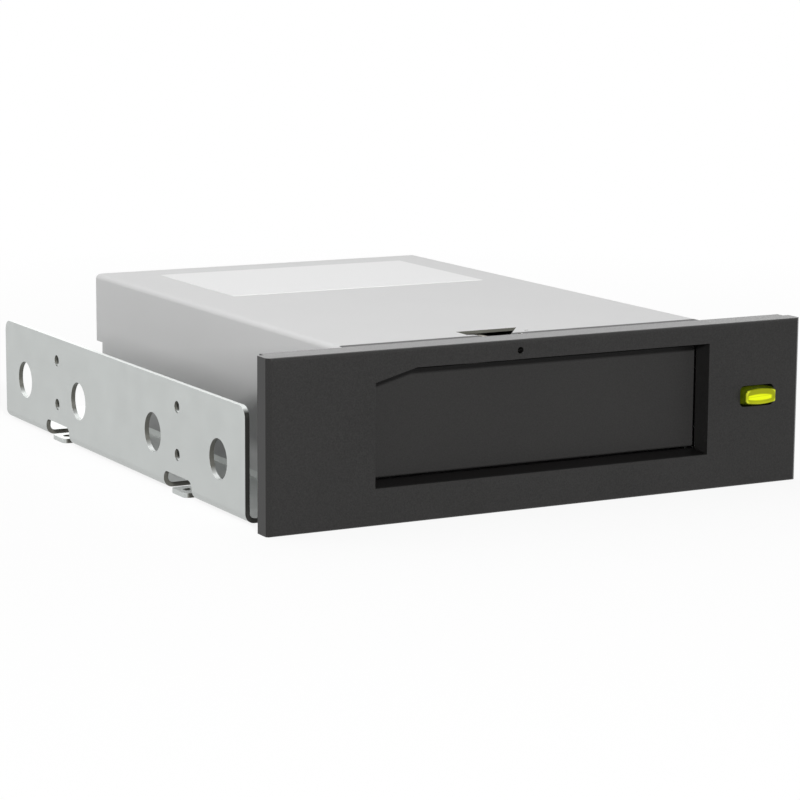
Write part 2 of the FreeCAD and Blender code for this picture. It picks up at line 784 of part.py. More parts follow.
def bottom_tray():
    """Steel pan under the cover, with pressed nuts and the rear connector's cut-out."""
    body = new_body("bottom_tray")
    length = tray_rear - tray_front
    outside = rectangle((-tray_outside_half, tray_outside_half), (tray_bottom, tray_wall_top))
    pad(body, "XZ", tray_front, length, outside)
    inside_x = (-tray_inside_half, tray_inside_half)
    inside = rectangle(inside_x, (tray_floor_top, tray_wall_top + OVERSHOOT))
    pocket(body, "XZ", tray_front - OVERSHOOT, length - tray_sheet + OVERSHOOT, inside)
    above_step = rectangle(inside_x, (rear_step_height, tray_wall_top + OVERSHOOT))
    pocket(body, "XZ", tray_rear - tray_sheet - OVERSHOOT, tray_sheet + OVERSHOOT * 2, above_step)
    shelf_y = (tray_rear - tray_sheet, cover_rear - cover_sheet - 0.1)
    shelf = rectangle((-tray_inside_half, tray_inside_half), shelf_y)
    pad(body, "XY", rear_step_height - tray_sheet, tray_sheet, shelf)

    nuts = [Disc(x, y, 2.6) for x in (-bracket_screw_x, bracket_screw_x) for y in bracket_screw_rows_y]
    pad(body, "XY", tray_floor_top, as_size(1.8), *nuts)
    floor_start = tray_bottom - OVERSHOOT
    threads = [Disc(nut.x, nut.y, screw_radius + thread_play) for nut in nuts]
    pocket(body, "XY", floor_start, as_size(6.0), *threads)
    clearances = [Disc(x, y, screw_radius + 0.15) for x in (-leg_reach_x, leg_reach_x) for y in leg_rows_y]
    clearances += [Disc(x, bezel_screw_y, screw_radius + 0.15) for x in (-bezel_lug_x, bezel_lug_x)]
    pocket(body, "XY", floor_start, tray_sheet + OVERSHOOT * 2, *clearances)

    side_threads = [Disc(y, access_height, screw_radius + thread_play) for y in side_screw_rows_y]
    pocket(body, "YZ", -body_half, body_width, *side_threads)
    pocket(body, "YZ", tray_inside_half - OVERSHOOT, tray_sheet + OVERSHOOT * 2, cable_slot())
    plug_x = (host_left - 0.4, host_left + host_width + 0.4)
    plug_z = (board_top - 0.4, board_top + host_height + 0.4)
    pocket(body, "XZ", tray_rear - tray_sheet - OVERSHOOT, tray_sheet + OVERSHOOT * 2, rectangle(plug_x, plug_z))
    return sub_part("bottom_tray", body)


def bay_floor():
    """Moulded plate that the cartridge slides on, standing on six legs."""
    across = (-guide_outside_half, guide_outside_half)
    under = bay_floor_top - bay_floor_thick
    pieces = [block(across, (bay_front, bay_rear), (under, bay_floor_top))]
    holes = []
    for x in (-leg_reach_x, leg_reach_x):
        for y in leg_rows_y:
            pieces.append(bar("z", x, y, tray_floor_top, leg_radius, under - tray_floor_top))
            holes.append(bar("z", x, y, tray_floor_top, screw_radius + thread_play, 5.5))
    return sub_part("bay_floor", cut(fuse(*pieces), *holes))


def bay_guide(node, side, with_window):
    """Side wall of the bay with two screw columns that carry the mechanism deck."""
    body = new_body(node)
    inner = bay_half * side
    outer = guide_outside_half * side
    low_x, high_x = (outer, inner) if side < 0 else (inner, outer)
    wall_height = bay_ceiling - bay_floor_top
    wall = rectangle((low_x, high_x), (guide_front, bay_rear))
    pad(body, "XY", bay_floor_top, wall_height, wall)
    columns = [Disc(column_x * side, y, column_radius) for y in column_rows_y]
    for column in columns:
        pad(body, "XY", bay_floor_top, wall_height, column)
    cheek_ends = (guide_outside_half + cheek_gap, column_x + column_radius - 0.1)
    cheek_x = sorted([end * side for end in cheek_ends], key=float)
    cheek_bottom = cable_bottom + cable_width + cable_slot_margin * 2
    cheek = rectangle(cheek_x, (bay_front, column_front_y))
    pad(body, "XY", cheek_bottom, bay_ceiling - cheek_bottom, cheek)
    threads = [Disc(column.x, column.y, small_screw_radius + thread_play) for column in columns]
    pocket(body, "XY", bay_ceiling - deck_screw_length, deck_screw_length + OVERSHOOT, *threads)
    chamfer(body, guide_wall * 0.6, "z", (inner, guide_front, None))
    if with_window:
        window_y = (hook_y - 2.5, hook_y + hook_length + 2.0)
        window_z = (slide_bottom - hook_drop - 1.0, bay_ceiling + OVERSHOOT)
        start = outer - OVERSHOOT
        pocket(body, "YZ", start, guide_wall + OVERSHOOT * 2, rectangle(window_y, window_z))
    return sub_part(node, body)


def cartridge_door():
    """Flap behind the window with a knuckle at each end of its top edge."""
    body = new_body("cartridge_door")
    half = window_rear_half - door_gap
    top = window_top - door_top_gap
    sheet_y = (door_setback, door_setback + door_thick)
    pad(body, "XZ", door_setback, door_thick, rectangle((-half, half), (window_rear_sill + door_gap, top)))
    fillet(body, as_size(0.5), "x", (None, sheet_y[0], window_rear_sill + door_gap))
    for low in (-half, half - knuckle_width):
        web = rectangle((low, low + knuckle_width), (top - 0.6, hinge_z))
        pad(body, "XZ", hinge_y - 1.2, as_size(1.3), web)
        pad(body, "YZ", low, knuckle_width, Disc(hinge_y, hinge_z, knuckle_radius))
    for x in (-door_rib_x, door_rib_x):
        rib = rectangle((x - 0.6, x + 0.6), (window_rear_sill + 2.0, top - 3.0))
        pad(body, "XZ", sheet_y[1], as_size(0.7), rib)
    bore = Disc(hinge_y, hinge_z, hinge_rod_radius + hinge_play)
    pocket(body, "YZ", -half - OVERSHOOT, half * 2 + OVERSHOOT * 2, bore)
    return sub_part("cartridge_door", body)


def coil(radius, wire_radius, pitch, turns):
    """Round wire wound along Z from the origin, as half rings that lean to and fro and meet end to end."""
    rise = pitch / 2
    ring_radius = math.hypot(radius, rise / 2)
    lean = math.degrees(math.atan2(rise / 2, radius))
    halves = []
    for k in range(2 * turns):
        half = Part.makeTorus(ring_radius, wire_radius, Vector(), Vector(0, 0, 1), -180, 180, 180)
        way = 1 if k % 2 == 0 else -1
        if way < 0:
            half.rotate(Vector(), Vector(0, 0, 1), 180)
        half.rotate(Vector(), Vector(0, 1, 0), way * lean)
        half.translate(Vector(0, 0, (k + 0.5) * rise))
        halves.append(half)
    return halves[0].fuse(halves[1:])


def wire_leg(start, end, wire_radius):
    """A straight end of spring wire between two points."""
    return Part.makeCylinder(wire_radius, (end - start).Length, start, end - start)


def hinge_rod():
    half = window_rear_half + 0.1 + ear_width / 2
    return sub_part("hinge_rod", bar("x", -half, hinge_y, hinge_z, hinge_rod_radius, half * 2))


def door_spring():
    """Torsion spring on the hinge rod; one leg lies on the door."""
    wire = door_spring_wire.value
    radius = hinge_rod_radius.value + 0.15 + wire
    winding = coil(radius, wire, wire * 2.3, 5)
    winding.rotate(Vector(), Vector(0, 1, 0), 90)
    foot = Vector(0, radius, 0)
    leg = wire_leg(foot, foot + Vector(0, 0, -6.0), wire)
    spring = winding.fuse(leg)
    spring.translate(Vector(door_spring_x.value, hinge_y.value, hinge_z.value))
    door_back = door_setback.value + door_thick.value
    lean = door_back + 0.05 + wire - (hinge_y.value + radius)
    spring.translate(Vector(0, max(lean, 0), 0))
    return sub_part("door_spring", set_shape("door_spring_shape", spring))


def key_wire(half_width, half_height, y):
    """The key's outline in a plane across Y: straight ends, top and bottom bowed outwards."""
    x = button_x.value
    z = button_z.value
    half_end = half_height * button_end_share.value
    corners = [Vector(x + a * half_width, y, z + b * half_end) for a, b in ((-1, -1), (1, -1), (1, 1), (-1, 1))]
    edges = [
        Part.Arc(corners[0], Vector(x, y, z - half_height), corners[1]).toShape(),
        Part.makeLine(corners[1], corners[2]),
        Part.Arc(corners[2], Vector(x, y, z + half_height), corners[3]).toShape(),
        Part.makeLine(corners[3], corners[0]),
    ]
    return Part.Wire(edges)


def key_slab(half_width, half_height, start, end):
    face = Part.Face(key_wire(half_width, half_height, start))
    return face.extrude(Vector(0, end - start, 0))


def eject_button():
    """Translucent key cap: tapered nose, sleeve in the bezel's hole, flange behind it and a plunger."""
    half_width = button_width.value / 2
    half_height = button_height.value / 2
    inset = button_face_inset.value
    face_y = -bezel_thick.value
    nose_y = face_y - button_reach.value
    flange_y = button_flange_start.value
    flange_end = flange_y + button_flange_thick.value
    base = key_wire(half_width, half_height, face_y)
    tip = key_wire(half_width - inset, half_height - inset, nose_y)
    nose = Part.makeLoft([base, tip], True, True)
    sleeve = key_slab(half_width, half_height, face_y, flange_y)
    rim = button_flange.value
    flange = key_slab(half_width + rim, half_height + rim, flange_y, flange_end)
    start = Vector(button_x.value, flange_end, button_z.value)
    plunger = Part.makeCylinder(plunger_radius.value, plunger_length.value, start, Vector(0, 1, 0))
    cap = nose.fuse([sleeve, flange, plunger]).removeSplitter()
    return sub_part("eject_button", set_shape("eject_button_shape", cap))


def button_spring():
    """Return spring round the plunger, between the key's flange and the switch."""
    start = button_flange_start.value + button_flange_thick.value
    wire = button_spring_wire.value
    end = panel_board_y.value - switch_depth.value
    turns = 4
    pitch = (end - start - 2 * wire - 0.1) / turns
    winding = coil(button_spring_radius.value, wire, pitch, turns)
    winding.rotate(Vector(), Vector(1, 0, 0), -90)
    winding.translate(Vector(button_x.value, start + wire + 0.05, button_z.value))
    return sub_part("button_spring", set_shape("button_spring_shape", winding))


def button_board():
    """Small upright circuit board behind the bezel, with its two screw holes."""
    body = new_body("button_board")
    across = (panel_board_left, panel_board_left + panel_board_width)
    up = (panel_board_bottom, panel_board_bottom + panel_board_height)
    holes = [Disc(x, z, small_screw_radius + 0.1) for x, z in panel_boss_spots()]
    pad(body, "XZ", panel_board_y, board_thick, rectangle(across, up), *holes)
    return sub_part("button_board", body)


def push_switch():
    half = switch_width / 2
    front = panel_board_y - switch_depth
    case = block((button_x - half, button_x + half), (front, panel_board_y), (button_z - half, button_z + half))
    cap_start = button_flange_start + button_flange_thick + plunger_length + button_travel + 0.05
    cap = bar("y", button_x, cap_start, button_z, switch_cap_radius, front - cap_start)
    return sub_part("push_switch", fuse(case, cap))


def status_lights():
    """Two light sources beside the switch that shine into the key cap."""
    lights = []
    for x in (button_x - light_offset, button_x + light_offset):
        front = panel_board_y - 0.8
        lights.append(block((x - 0.4, x + 0.4), (front, panel_board_y), (button_z - 0.8, button_z + 0.8)))
    return sub_part("status_lights", group(*lights))


def button_cable():
    """Flat cable from the button board through the side walls to the main board."""
    x = cable_panel_x.value
    y = cable_y.value
    start = panel_board_y.value + board_thick.value + socket_depth.value
    end = main_socket_x.value + socket_depth.value / 2
    radius = cable_bend.value
    half = cable_thick.value / 2

    def line_and_bend(offset):
        turn = radius + offset
        centre = Vector(x - radius, y - radius, 0)
        slant = turn / math.sqrt(2)
        a = Vector(centre.x + turn, start, 0)
        b = Vector(centre.x + turn, centre.y, 0)
        c = Vector(centre.x + slant, centre.y + slant, 0)
        d = Vector(centre.x, centre.y + turn, 0)
        e = Vector(end, centre.y + turn, 0)
        return a, b, c, d, e

    a, b, c, d, e = line_and_bend(half)
    f, g, i, j, k = line_and_bend(-half)
    edges = [
        Part.makeLine(a, b),
        Part.Arc(b, c, d).toShape(),
        Part.makeLine(d, e),
        Part.makeLine(e, k),
        Part.makeLine(k, j),
        Part.Arc(j, i, g).toShape(),
        Part.makeLine(g, f),
        Part.makeLine(f, a),
    ]
    strip = Part.Face(Part.Wire(edges)).extrude(Vector(0, 0, cable_width.value))
    strip.translate(Vector(0, 0, cable_bottom.value))
    return sub_part("button_cable", set_shape("button_cable_shape", strip))


def cable_sockets():
    """Sockets at the two ends of the button cable."""
    up = (cable_bottom - 0.4, cable_bottom + cable_width + 0.4)
    board_back = panel_board_y + board_thick
    half = socket_length / 2
    panel = block((cable_panel_x - half, cable_panel_x + half), (board_back, board_back + socket_depth), up)
    deep = socket_depth / 2
    main = block(
        (main_socket_x - deep, main_socket_x + deep),
        (cable_y - half, cable_y + half),
        (board_top, up[1]),
    )
    return sub_part("cable_sockets", group(panel, main))


def mechanism_deck():
    """Steel plate over the bay with the slots and holes of the ejector, latch and gears."""
    body = new_body("mechanism_deck")
    pad(body, "XY", bay_ceiling, deck_sheet, rectangle((-deck_half, deck_half), (deck_front, deck_rear)))
    cuts = []
    slide_x = slide_left + slide_width / 2
    side = pusher_width / 2 + 0.5
    back = pusher_y + pusher_thick + 0.5
    cuts.append(rectangle((slide_x - side, slide_x + side), (pusher_y - eject_travel - 0.5, back)))
    hook_x = (-deck_half - OVERSHOOT, -bay_half + hook_bite + 0.6)
    cuts.append(rectangle(hook_x, (hook_y - 2.5, hook_y + hook_length + 2.0)))
    cuts += [Disc(slide_x, y, stud_radius) for y in (front_stud_y, rear_stud_y)]
    cuts.append(Disc(latch_x, latch_y, latch_post_radius))
    cuts.append(Disc(gear_x, gear_y, gear_post_radius))
    cuts.append(Disc(motor_x, motor_y, motor_boss_radius))
    for x in (-column_x, column_x):
        cuts += [Disc(x, y, small_screw_radius + 0.1) for y in column_rows_y + [pillar_y]]
    pocket(body, "XY", bay_ceiling - OVERSHOOT, deck_sheet + OVERSHOOT * 2, *cuts)
    corners = [(x, y, None) for x in (-deck_half, deck_half) for y in (deck_front, deck_rear)]
    fillet(body, as_size(1.5), "z", *corners)
    return sub_part("mechanism_deck", body)


def deck_pillars():
    """Two posts that carry the rear end of the deck."""
    posts = []
    for x in (-column_x, column_x):
        post = bar("z", x, pillar_y, tray_floor_top, as_size(1.8), bay_ceiling - tray_floor_top)
        thread_start = bay_ceiling - deck_screw_length
        hole = bar("z", x, pillar_y, thread_start, small_screw_radius + thread_play, deck_screw_length)
        posts.append(cut(post, hole))
    return sub_part("deck_pillars", group(*posts))


def slide_studs():
    """Two riveted studs whose heads keep the ejector slide on the deck."""
    slide_x = slide_left + slide_width / 2
    studs = []
    for y in (front_stud_y, rear_stud_y):
        head_z = slide_top + 0.1
        shank = bar("z", slide_x, y, bay_ceiling, stud_radius, head_z - bay_ceiling)
        head = bar("z", slide_x, y, head_z, stud_head_radius, stud_head_thick)
        studs.append(fuse(shank, head))
    return sub_part("slide_studs", group(*studs))


def ejector_slide():
    """Sliding plate with stud slots, a rack along its rear left edge and a pusher bent down into the bay."""
    pitch = math.pi * gear_module.value
    left = slide_left.value
    right = left + slide_width.value
    tip = left - rack_root.value - rack_tip.value
    slope = math.tan(math.radians(PRESSURE_ANGLE))
    half_root = pitch / 4 - gear_backlash.value / 2 + rack_root.value * slope
    half_tip = pitch / 4 - gear_backlash.value / 2 - rack_tip.value * slope
    points = [Vector(left, slide_front.value, 0), Vector(right, slide_front.value, 0)]
    points += [Vector(right, slide_rear.value, 0), Vector(left, slide_rear.value, 0)]
    count = int(eject_travel.value / pitch) + 4
    for k in reversed(range(count)):
        y = gear_y.value + (k - 1.5) * pitch
        points.append(Vector(left, y + half_root, 0))
        points.append(Vector(tip, y + half_tip, 0))
        points.append(Vector(tip, y - half_tip, 0))
        points.append(Vector(left, y - half_root, 0))
    outline = Part.makePolygon(points + points[:1])
    height = Vector(0, 0, slide_thick.value)
    plate = Part.Face(outline).extrude(height)
    middle = left + slide_width.value / 2
    radius = stud_radius.value + slide_play.value
    for y in (front_stud_y.value, rear_stud_y.value):
        near = Part.makeCylinder(radius, height.z, Vector(middle, y, 0))
        far = Part.makeCylinder(radius, height.z, Vector(middle, y + eject_travel.value, 0))
        run = Part.makeBox(2 * radius, eject_travel.value, height.z, Vector(middle - radius, y, 0))
        plate = plate.cut([near, far, run])
    half = pusher_width.value / 2
    reach = pusher_reach.value + slide_lift.value + deck_sheet.value
    corner = Vector(middle - half, pusher_y.value, -reach)
    pusher = Part.makeBox(2 * half, pusher_thick.value, reach, corner)
    slide = plate.fuse(pusher).removeSplitter()
    slide.translate(Vector(0, 0, slide_bottom.value))
    return sub_part("ejector_slide", set_shape("ejector_slide_shape", slide))




def involute(angle):
    return math.tan(angle) - angle


def gear_wheel(teeth, height, tooth_angle):
    """A spur gear round Z with one tooth centred on the given angle in radians."""
    module = gear_module.value
    pitch_radius = module * teeth / 2
    base_radius = pitch_radius * math.cos(math.radians(PRESSURE_ANGLE))
    tip_radius = pitch_radius + rack_tip.value
    root_radius = pitch_radius - rack_root.value
    half_tooth = math.pi / (2 * teeth) - gear_backlash.value / (2 * pitch_radius)
    flank_start = max(base_radius, root_radius)
    steps = 5
    flank = []
    for step in range(steps + 1):
        radius = flank_start + (tip_radius - flank_start) * step / steps
        angle = math.acos(min(1.0, base_radius / radius))
        flank.append((radius, half_tooth + involute(math.radians(PRESSURE_ANGLE)) - involute(angle)))
    if root_radius < base_radius:
        flank.insert(0, (root_radius, flank[0][1]))
    points = []
    for tooth in range(teeth):
        centre = tooth_angle + 2 * math.pi * tooth / teeth
        for radius, half in flank:
            points.append(Vector(radius * math.cos(centre - half), radius * math.sin(centre - half), 0))
        for radius, half in reversed(flank):
            points.append(Vector(radius * math.cos(centre + half), radius * math.sin(centre + half), 0))
    return Part.Face(Part.makePolygon(points + points[:1])).extrude(Vector(0, 0, height))


def eject_gear():
    """Large wheel driven by the motor and small pinion on the rack, moulded in one."""
    towards_motor = math.atan2(motor_setback.value, motor_x.value - gear_x.value)
    wheel = gear_wheel(WHEEL_TEETH, gear_thick.value, towards_motor)
    wheel.translate(Vector(0, 0, gear_bottom.value))
    small = gear_wheel(PINION_TEETH, slide_thick.value, 0.0)
    small.translate(Vector(0, 0, slide_bottom.value))
    hub = Part.makeCylinder(3.0, gear_lift.value, Vector(0, 0, slide_top.value))
    moulding = wheel.fuse([small, hub]).removeSplitter()
    bore_radius = gear_post_radius.value + gear_play.value
    height = gear_top.value - slide_bottom.value
    moulding = moulding.cut(Part.makeCylinder(bore_radius, height, Vector(0, 0, slide_bottom.value)))
    for spoke in range(5):
        angle = 2 * math.pi * (spoke + 0.5) / 5
        middle = Vector(7.6 * math.cos(angle), 7.6 * math.sin(angle), gear_bottom.value)
        moulding = moulding.cut(Part.makeCylinder(2.4, gear_thick.value, middle))
    moulding.translate(Vector(gear_x.value, gear_y.value, 0))
    return sub_part("eject_gear", set_shape("eject_gear_shape", moulding))


def motor_pinion():
    """Pinion on the motor's shaft."""
    towards_gear = math.atan2(-motor_setback.value, gear_x.value - motor_x.value)
    pinion = gear_wheel(PINION_TEETH, gear_thick.value, towards_gear + math.pi / PINION_TEETH)
    pinion.translate(Vector(0, 0, gear_bottom.value))
    shaft_start = bay_ceiling.value - motor_length.value + 3.0
    shaft = Part.makeCylinder(motor_shaft_radius.value, gear_top.value + 0.3 - shaft_start, Vector(0, 0, shaft_start))
    turning = pinion.fuse(shaft).removeSplitter()
    turning.translate(Vector(motor_x.value, motor_y.value, 0))
    return sub_part("motor_pinion", set_shape("motor_pinion_shape", turning))


def eject_motor():
    """Can motor hung under the deck, with its boss in the deck and two terminals down to the board."""
    bottom = bay_ceiling - motor_length
    can = bar("z", motor_x, motor_y, bottom, motor_radius, motor_length)
    boss = bar("z", motor_x, motor_y, bay_ceiling, motor_boss_radius, deck_sheet)
    across = (motor_x - motor_radius - OVERSHOOT, motor_x + motor_radius + OVERSHOOT)
    up = (bottom - OVERSHOOT, bay_ceiling)
    rim = motor_radius + OVERSHOOT
    front_flat = block(across, (motor_y - rim, motor_y - motor_flat), up)
    rear_flat = block(across, (motor_y + motor_flat, motor_y + rim), up)
    shaft_hole = bar("z", motor_x, motor_y, bottom + 2.5, motor_shaft_radius + gear_play, motor_length + deck_sheet)
    pins = [bar("z", motor_x + way * 2.5, motor_y, board_top, as_size(0.4), bottom - board_top) for way in (-1, 1)]
    return sub_part("eject_motor", fuse(cut(fuse(can, boss), shaft_hole, front_flat, rear_flat), *pins))


def gear_post():
    """Riveted post that the eject gear turns on."""
    shank = bar("z", gear_x, gear_y, bay_ceiling, gear_post_radius, gear_top + 0.4 - bay_ceiling)
    clip = bar("z", gear_x, gear_y, gear_top + 0.1, gear_post_radius + 0.7, as_size(0.3))
    return sub_part("gear_post", fuse(shank, clip))


def latch_post():
    """Riveted post that the cartridge latch turns on."""
    head_z = cover_inside_top - 0.6
    shank = bar("z", latch_x, latch_y, bay_ceiling, latch_post_radius, head_z - bay_ceiling)
    head = bar("z", latch_x, latch_y, head_z, latch_post_radius + 1.2, as_size(0.45))
    return sub_part("latch_post", fuse(shank, head))


def latch_spring():
    """Torsion spring round the latch post, above the latch."""
    wire = latch_spring_wire.value
    winding = coil(latch_post_radius.value + 0.15 + wire, wire, wire * 2.2, 2)
    start = slide_top.value + 0.1 + wire
    winding.translate(Vector(latch_x.value, latch_y.value, start))
    return sub_part("latch_spring", set_shape("latch_spring_shape", winding))


def release_slide():
    """Emergency release: a long bar from the pinhole back to the latch's arm."""
    half = release_width / 2
    across = (pinhole_x - half, pinhole_x + half)
    thin_z = (release_top - release_thick, release_top)
    wide = (pinhole_x - half - 0.5, pinhole_x + half + 0.5)
    head = block(wide, (release_front, release_front + 1.8), (thin_z[0] - 0.2, thin_z[1] + 0.2))
    thin = block(across, (release_front + 1.8, deck_front + 2.0), thin_z)
    nose_y = release_rear - half
    thick = block(across, (deck_front + 2.0, nose_y), (slide_bottom, release_top))
    nose = bar("z", pinhole_x, nose_y, slide_bottom, half, release_top - slide_bottom)
    return sub_part("release_slide", fuse(head, thin, thick, nose))


def release_guide():
    """Bridge on the deck that the release slide runs under."""
    inner = release_width / 2 + slide_play
    legs = []
    for low, high in ((-inner - 1.6, -inner), (inner, inner + 1.6)):
        legs.append(block((pinhole_x + low, pinhole_x + high), guide_rows(), (deck_top, release_top + 0.6)))
    roof_z = (release_top + slide_play, release_top + 0.6)
    roof = block((pinhole_x - inner - 0.5, pinhole_x + inner + 0.5), guide_rows(), roof_z)
    return sub_part("release_guide", fuse(*legs, roof))


def guide_rows():
    return (release_guide_y, release_guide_y + 4.5)


def cartridge_latch():
    """Bell crank: an arm behind the release slide and a hook down through the deck."""
    body = new_body("cartridge_latch")
    hook_in = -bay_half + hook_bite
    hook_out = hook_in - hook_thick
    hook_end = hook_y + hook_length
    arm_z = (slide_bottom, slide_thick)
    pad(body, "XY", arm_z[0], arm_z[1], Disc(latch_x, latch_y, 3.2))
    arm_front = release_rear + latch_gap
    arm = rectangle((latch_x, latch_x + latch_arm), (arm_front, arm_front + latch_arm_width))
    pad(body, "XY", arm_z[0], arm_z[1], arm)
    shank = [
        (latch_x - 1.8, latch_y),
        (latch_x + 1.8, latch_y),
        (hook_in, hook_y),
        (hook_in, hook_end),
        (hook_out, hook_end),
        (hook_out, hook_y),
    ]
    pad(body, "XY", arm_z[0], arm_z[1], shank)
    hook = [(hook_in, hook_end), (hook_out, hook_end), (hook_out, hook_y), (hook_in - 1.4, hook_y), (hook_in, hook_y + 2.5)]
    pad(body, "XY", slide_bottom - hook_drop, hook_drop + 0.5, hook)
    bore = Disc(latch_x, latch_y, latch_post_radius + gear_play)
    pocket(body, "XY", slide_bottom - OVERSHOOT, slide_thick + OVERSHOOT * 2, bore)
    return sub_part("cartridge_latch", body)


def main_board():
    """Circuit board under the bay, with holes for the bay floor's legs and its own screws."""
    body = new_body("main_board")
    wing_x = tray_inside_half - 0.4
    wing_y = cable_y + socket_length / 2 + 1.5
    outline = [
        (-board_half_width, board_front),
        (wing_x, board_front),
        (wing_x, wing_y),
        (board_half_width, wing_y),
        (board_half_width, board_rear),
        (-board_half_width, board_rear),
    ]
    holes = [Disc(x, y, leg_radius + 0.4) for x in (-leg_reach_x, leg_reach_x) for y in leg_rows_y]
    holes += [Disc(x, y, small_screw_radius + 0.15) for x in (-board_screw_x, board_screw_x) for y in board_screw_rows_y]
    pad(body, "XY", board_height, board_thick, outline, *holes)
    return sub_part("main_board", body)


def board_posts():
    """Four threaded posts pressed in the tray's floor."""
    posts = []
    for x in (-board_screw_x, board_screw_x):
        for y in board_screw_rows_y:
            post = bar("z", x, y, tray_floor_top, as_size(2.4), board_height - tray_floor_top)
            hole = bar("z", x, y, tray_floor_top, small_screw_radius + thread_play, as_size(5.0))
            posts.append(cut(post, hole))
    return sub_part("board_posts", group(*posts))


def chip(x, y, width, depth, height):
    """A flat chip on the main board, placed by its middle."""
    across = (x - width / 2, x + width / 2)
    back = (y - depth / 2, y + depth / 2)
    return block(across, back, (board_top, board_top + height))


def board_chips():
    """Bridge controller, memory and regulator on the main board."""
    beside = controller_side / 2 + chip_gap
    chips = [
        chip(controller_x, controller_y, controller_side, controller_side, chip_height),
        chip(controller_x - beside, controller_y, memory_width, memory_depth, chip_height),
        chip(controller_x + beside, controller_y, memory_depth, memory_depth, chip_height),
        chip(regulator_x, regulator_y, regulator_side, regulator_side, regulator_height),
    ]
    return sub_part("board_chips", group(*chips))


def board_capacitors():
    """Upright capacitors beside the rear connector."""
    places = (capacitor_x, capacitor_x + capacitor_radius * 2 + chip_height)
    cans = [bar("z", x, capacitor_y, board_top, capacitor_radius, capacitor_height) for x in places]
    return sub_part("board_capacitors", group(*cans))


def plug_block(x, y, z, way, floor_depth):
    """Plug housing with two blades in a recess that opens along Y, forwards or rearwards."""
    shell = block(x, y, z)
    wall = as_size(1.3)
    if way > 0:
        recess_y = (y[1] - floor_depth, y[1] + OVERSHOOT)
        blade_y = (recess_y[0] - 0.5, y[1] - 0.8)
    else:
        recess_y = (y[0] - OVERSHOOT, y[0] + floor_depth)
        blade_y = (y[0] + 0.8, recess_y[1] + 0.5)
    recess = block((x[0] + wall, x[1] - wall), recess_y, (z[0] + wall, z[1] - wall))
    middle = middle_of(z[0], z[1])
    split = x[0] + (x[1] - x[0]) * 0.34
    blade_z = (middle - 0.6, middle + 0.6)
    data_blade = block((x[0] + wall + 1.4, split - 1.0), blade_y, blade_z)
    power_blade = block((split + 1.0, x[1] - wall - 1.4), blade_y, blade_z)
    return fuse(cut(shell, recess), data_blade, power_blade)


def host_place():
    """Ends of the rear connector's housing along each axis."""
    x = (host_left, host_left + host_width)
    y = (tray_rear + host_proud - host_depth, tray_rear + host_proud)
    return x, y, (board_top, board_top + host_height)


def host_connector():
    """Data and power connector at the rear, on the main board."""
    x, y, z = host_place()
    return sub_part("host_connector", plug_block(x, y, z, 1, as_size(8.0)))


def contact_row(start, end, count, y, z):
    """Flat contacts side by side, evenly spaced between two places along X."""
    pitch = (end - start) / count
    contacts = []
    for i in range(count):
        left = start + pitch * (i + 0.2)
        contacts.append(block((left, left + pitch * 0.6), y, (z, z + 0.12)))
    return contacts


def host_contacts():
    """Contacts on the two blades of the rear connector."""
    x, y, z = host_place()
    split = x[0] + host_width * 0.34
    blade_top = middle_of(z[0], z[1]) + 0.6
    reach = (y[1] - 7.5, y[1] - 1.4)
    contacts = contact_row(x[0] + 2.9, split - 1.2, 7, reach, blade_top)
    contacts += contact_row(split + 1.2, x[1] - 2.9, 15, reach, blade_top)
    return sub_part("host_contacts", group(*contacts))


def riser_board():
    """Upright board behind the bay that carries the cartridge connector."""
    across = (-riser_half_width, riser_half_width)
    up = (board_top, bay_ceiling - 2.0)
    return sub_part("riser_board", block(across, (riser_y, riser_y + board_thick), up))


def cartridge_connector():
    """Connector at the rear of the bay that the cartridge plugs on."""
    x = (-riser_half_width + 1.0, riser_half_width - 1.0)
    y = (riser_y - bay_plug_depth, riser_y)
    z = (bay_plug_z, bay_plug_z + bay_plug_height)
    return sub_part("cartridge_connector", plug_block(x, y, z, -1, as_size(5.5)))


def rating_label():
    """Blank label on the cover."""
    across = (label_left, label_left + label_width)
    back = (label_front, label_front + label_depth)
    return sub_part("rating_label", block(across, back, (cover_top, cover_top + label_thick)))


def screw(axis, way, x, y, z, radius, head_radius, head_thick, length):
    """A screw whose head sits on a face at the point and whose shank runs on along the axis."""
    back = {"x": (1, 0, 0), "y": (0, 1, 0), "z": (0, 0, 1)}[axis]
    if way > 0:
        head_start = [c - head_thick * b for c, b in zip((x, y, z), back)]
        shank_start = [x, y, z]
        socket_start = [c - head_thick * b * 1.5 for c, b in zip((x, y, z), back)]
    else:
        head_start = [x, y, z]
        shank_start = [c - length * b for c, b in zip((x, y, z), back)]
        socket_start = [c + head_thick * b * 0.5 for c, b in zip((x, y, z), back)]
    head = bar(axis, *head_start, head_radius, head_thick)
    shank = bar(axis, *shank_start, radius, length)
    socket = bar(axis, *socket_start, head_radius * 0.42, head_thick)
    return cut(fuse(head, shank), socket)


def bracket_screws():
    screws = []
    for x in (-bracket_screw_x, bracket_screw_x):
        for y in bracket_screw_rows_y:
            head_top = bracket_bottom + bracket_screw_sink
            screws.append(big_screw("z", 1, x, y, head_top, as_size(3.4)))
    return sub_part("bracket_screws", group(*screws))


def big_screw(axis, way, x, y, z, length):
    return screw(axis, way, x, y, z, screw_radius, screw_head_radius, screw_head_thick, length)


def small_screw(axis, way, x, y, z, length):
    return screw(axis, way, x, y, z, small_screw_radius, small_head_radius, small_head_thick, length)


def frame_screws():
    """Screws from under the tray into the bay floor's legs."""
    spots = [(x, y) for x in (-leg_reach_x, leg_reach_x) for y in leg_rows_y]
    screws = [big_screw("z", 1, x, y, tray_bottom, as_size(6.0)) for x, y in spots]
    return sub_part("frame_screws", group(*screws))


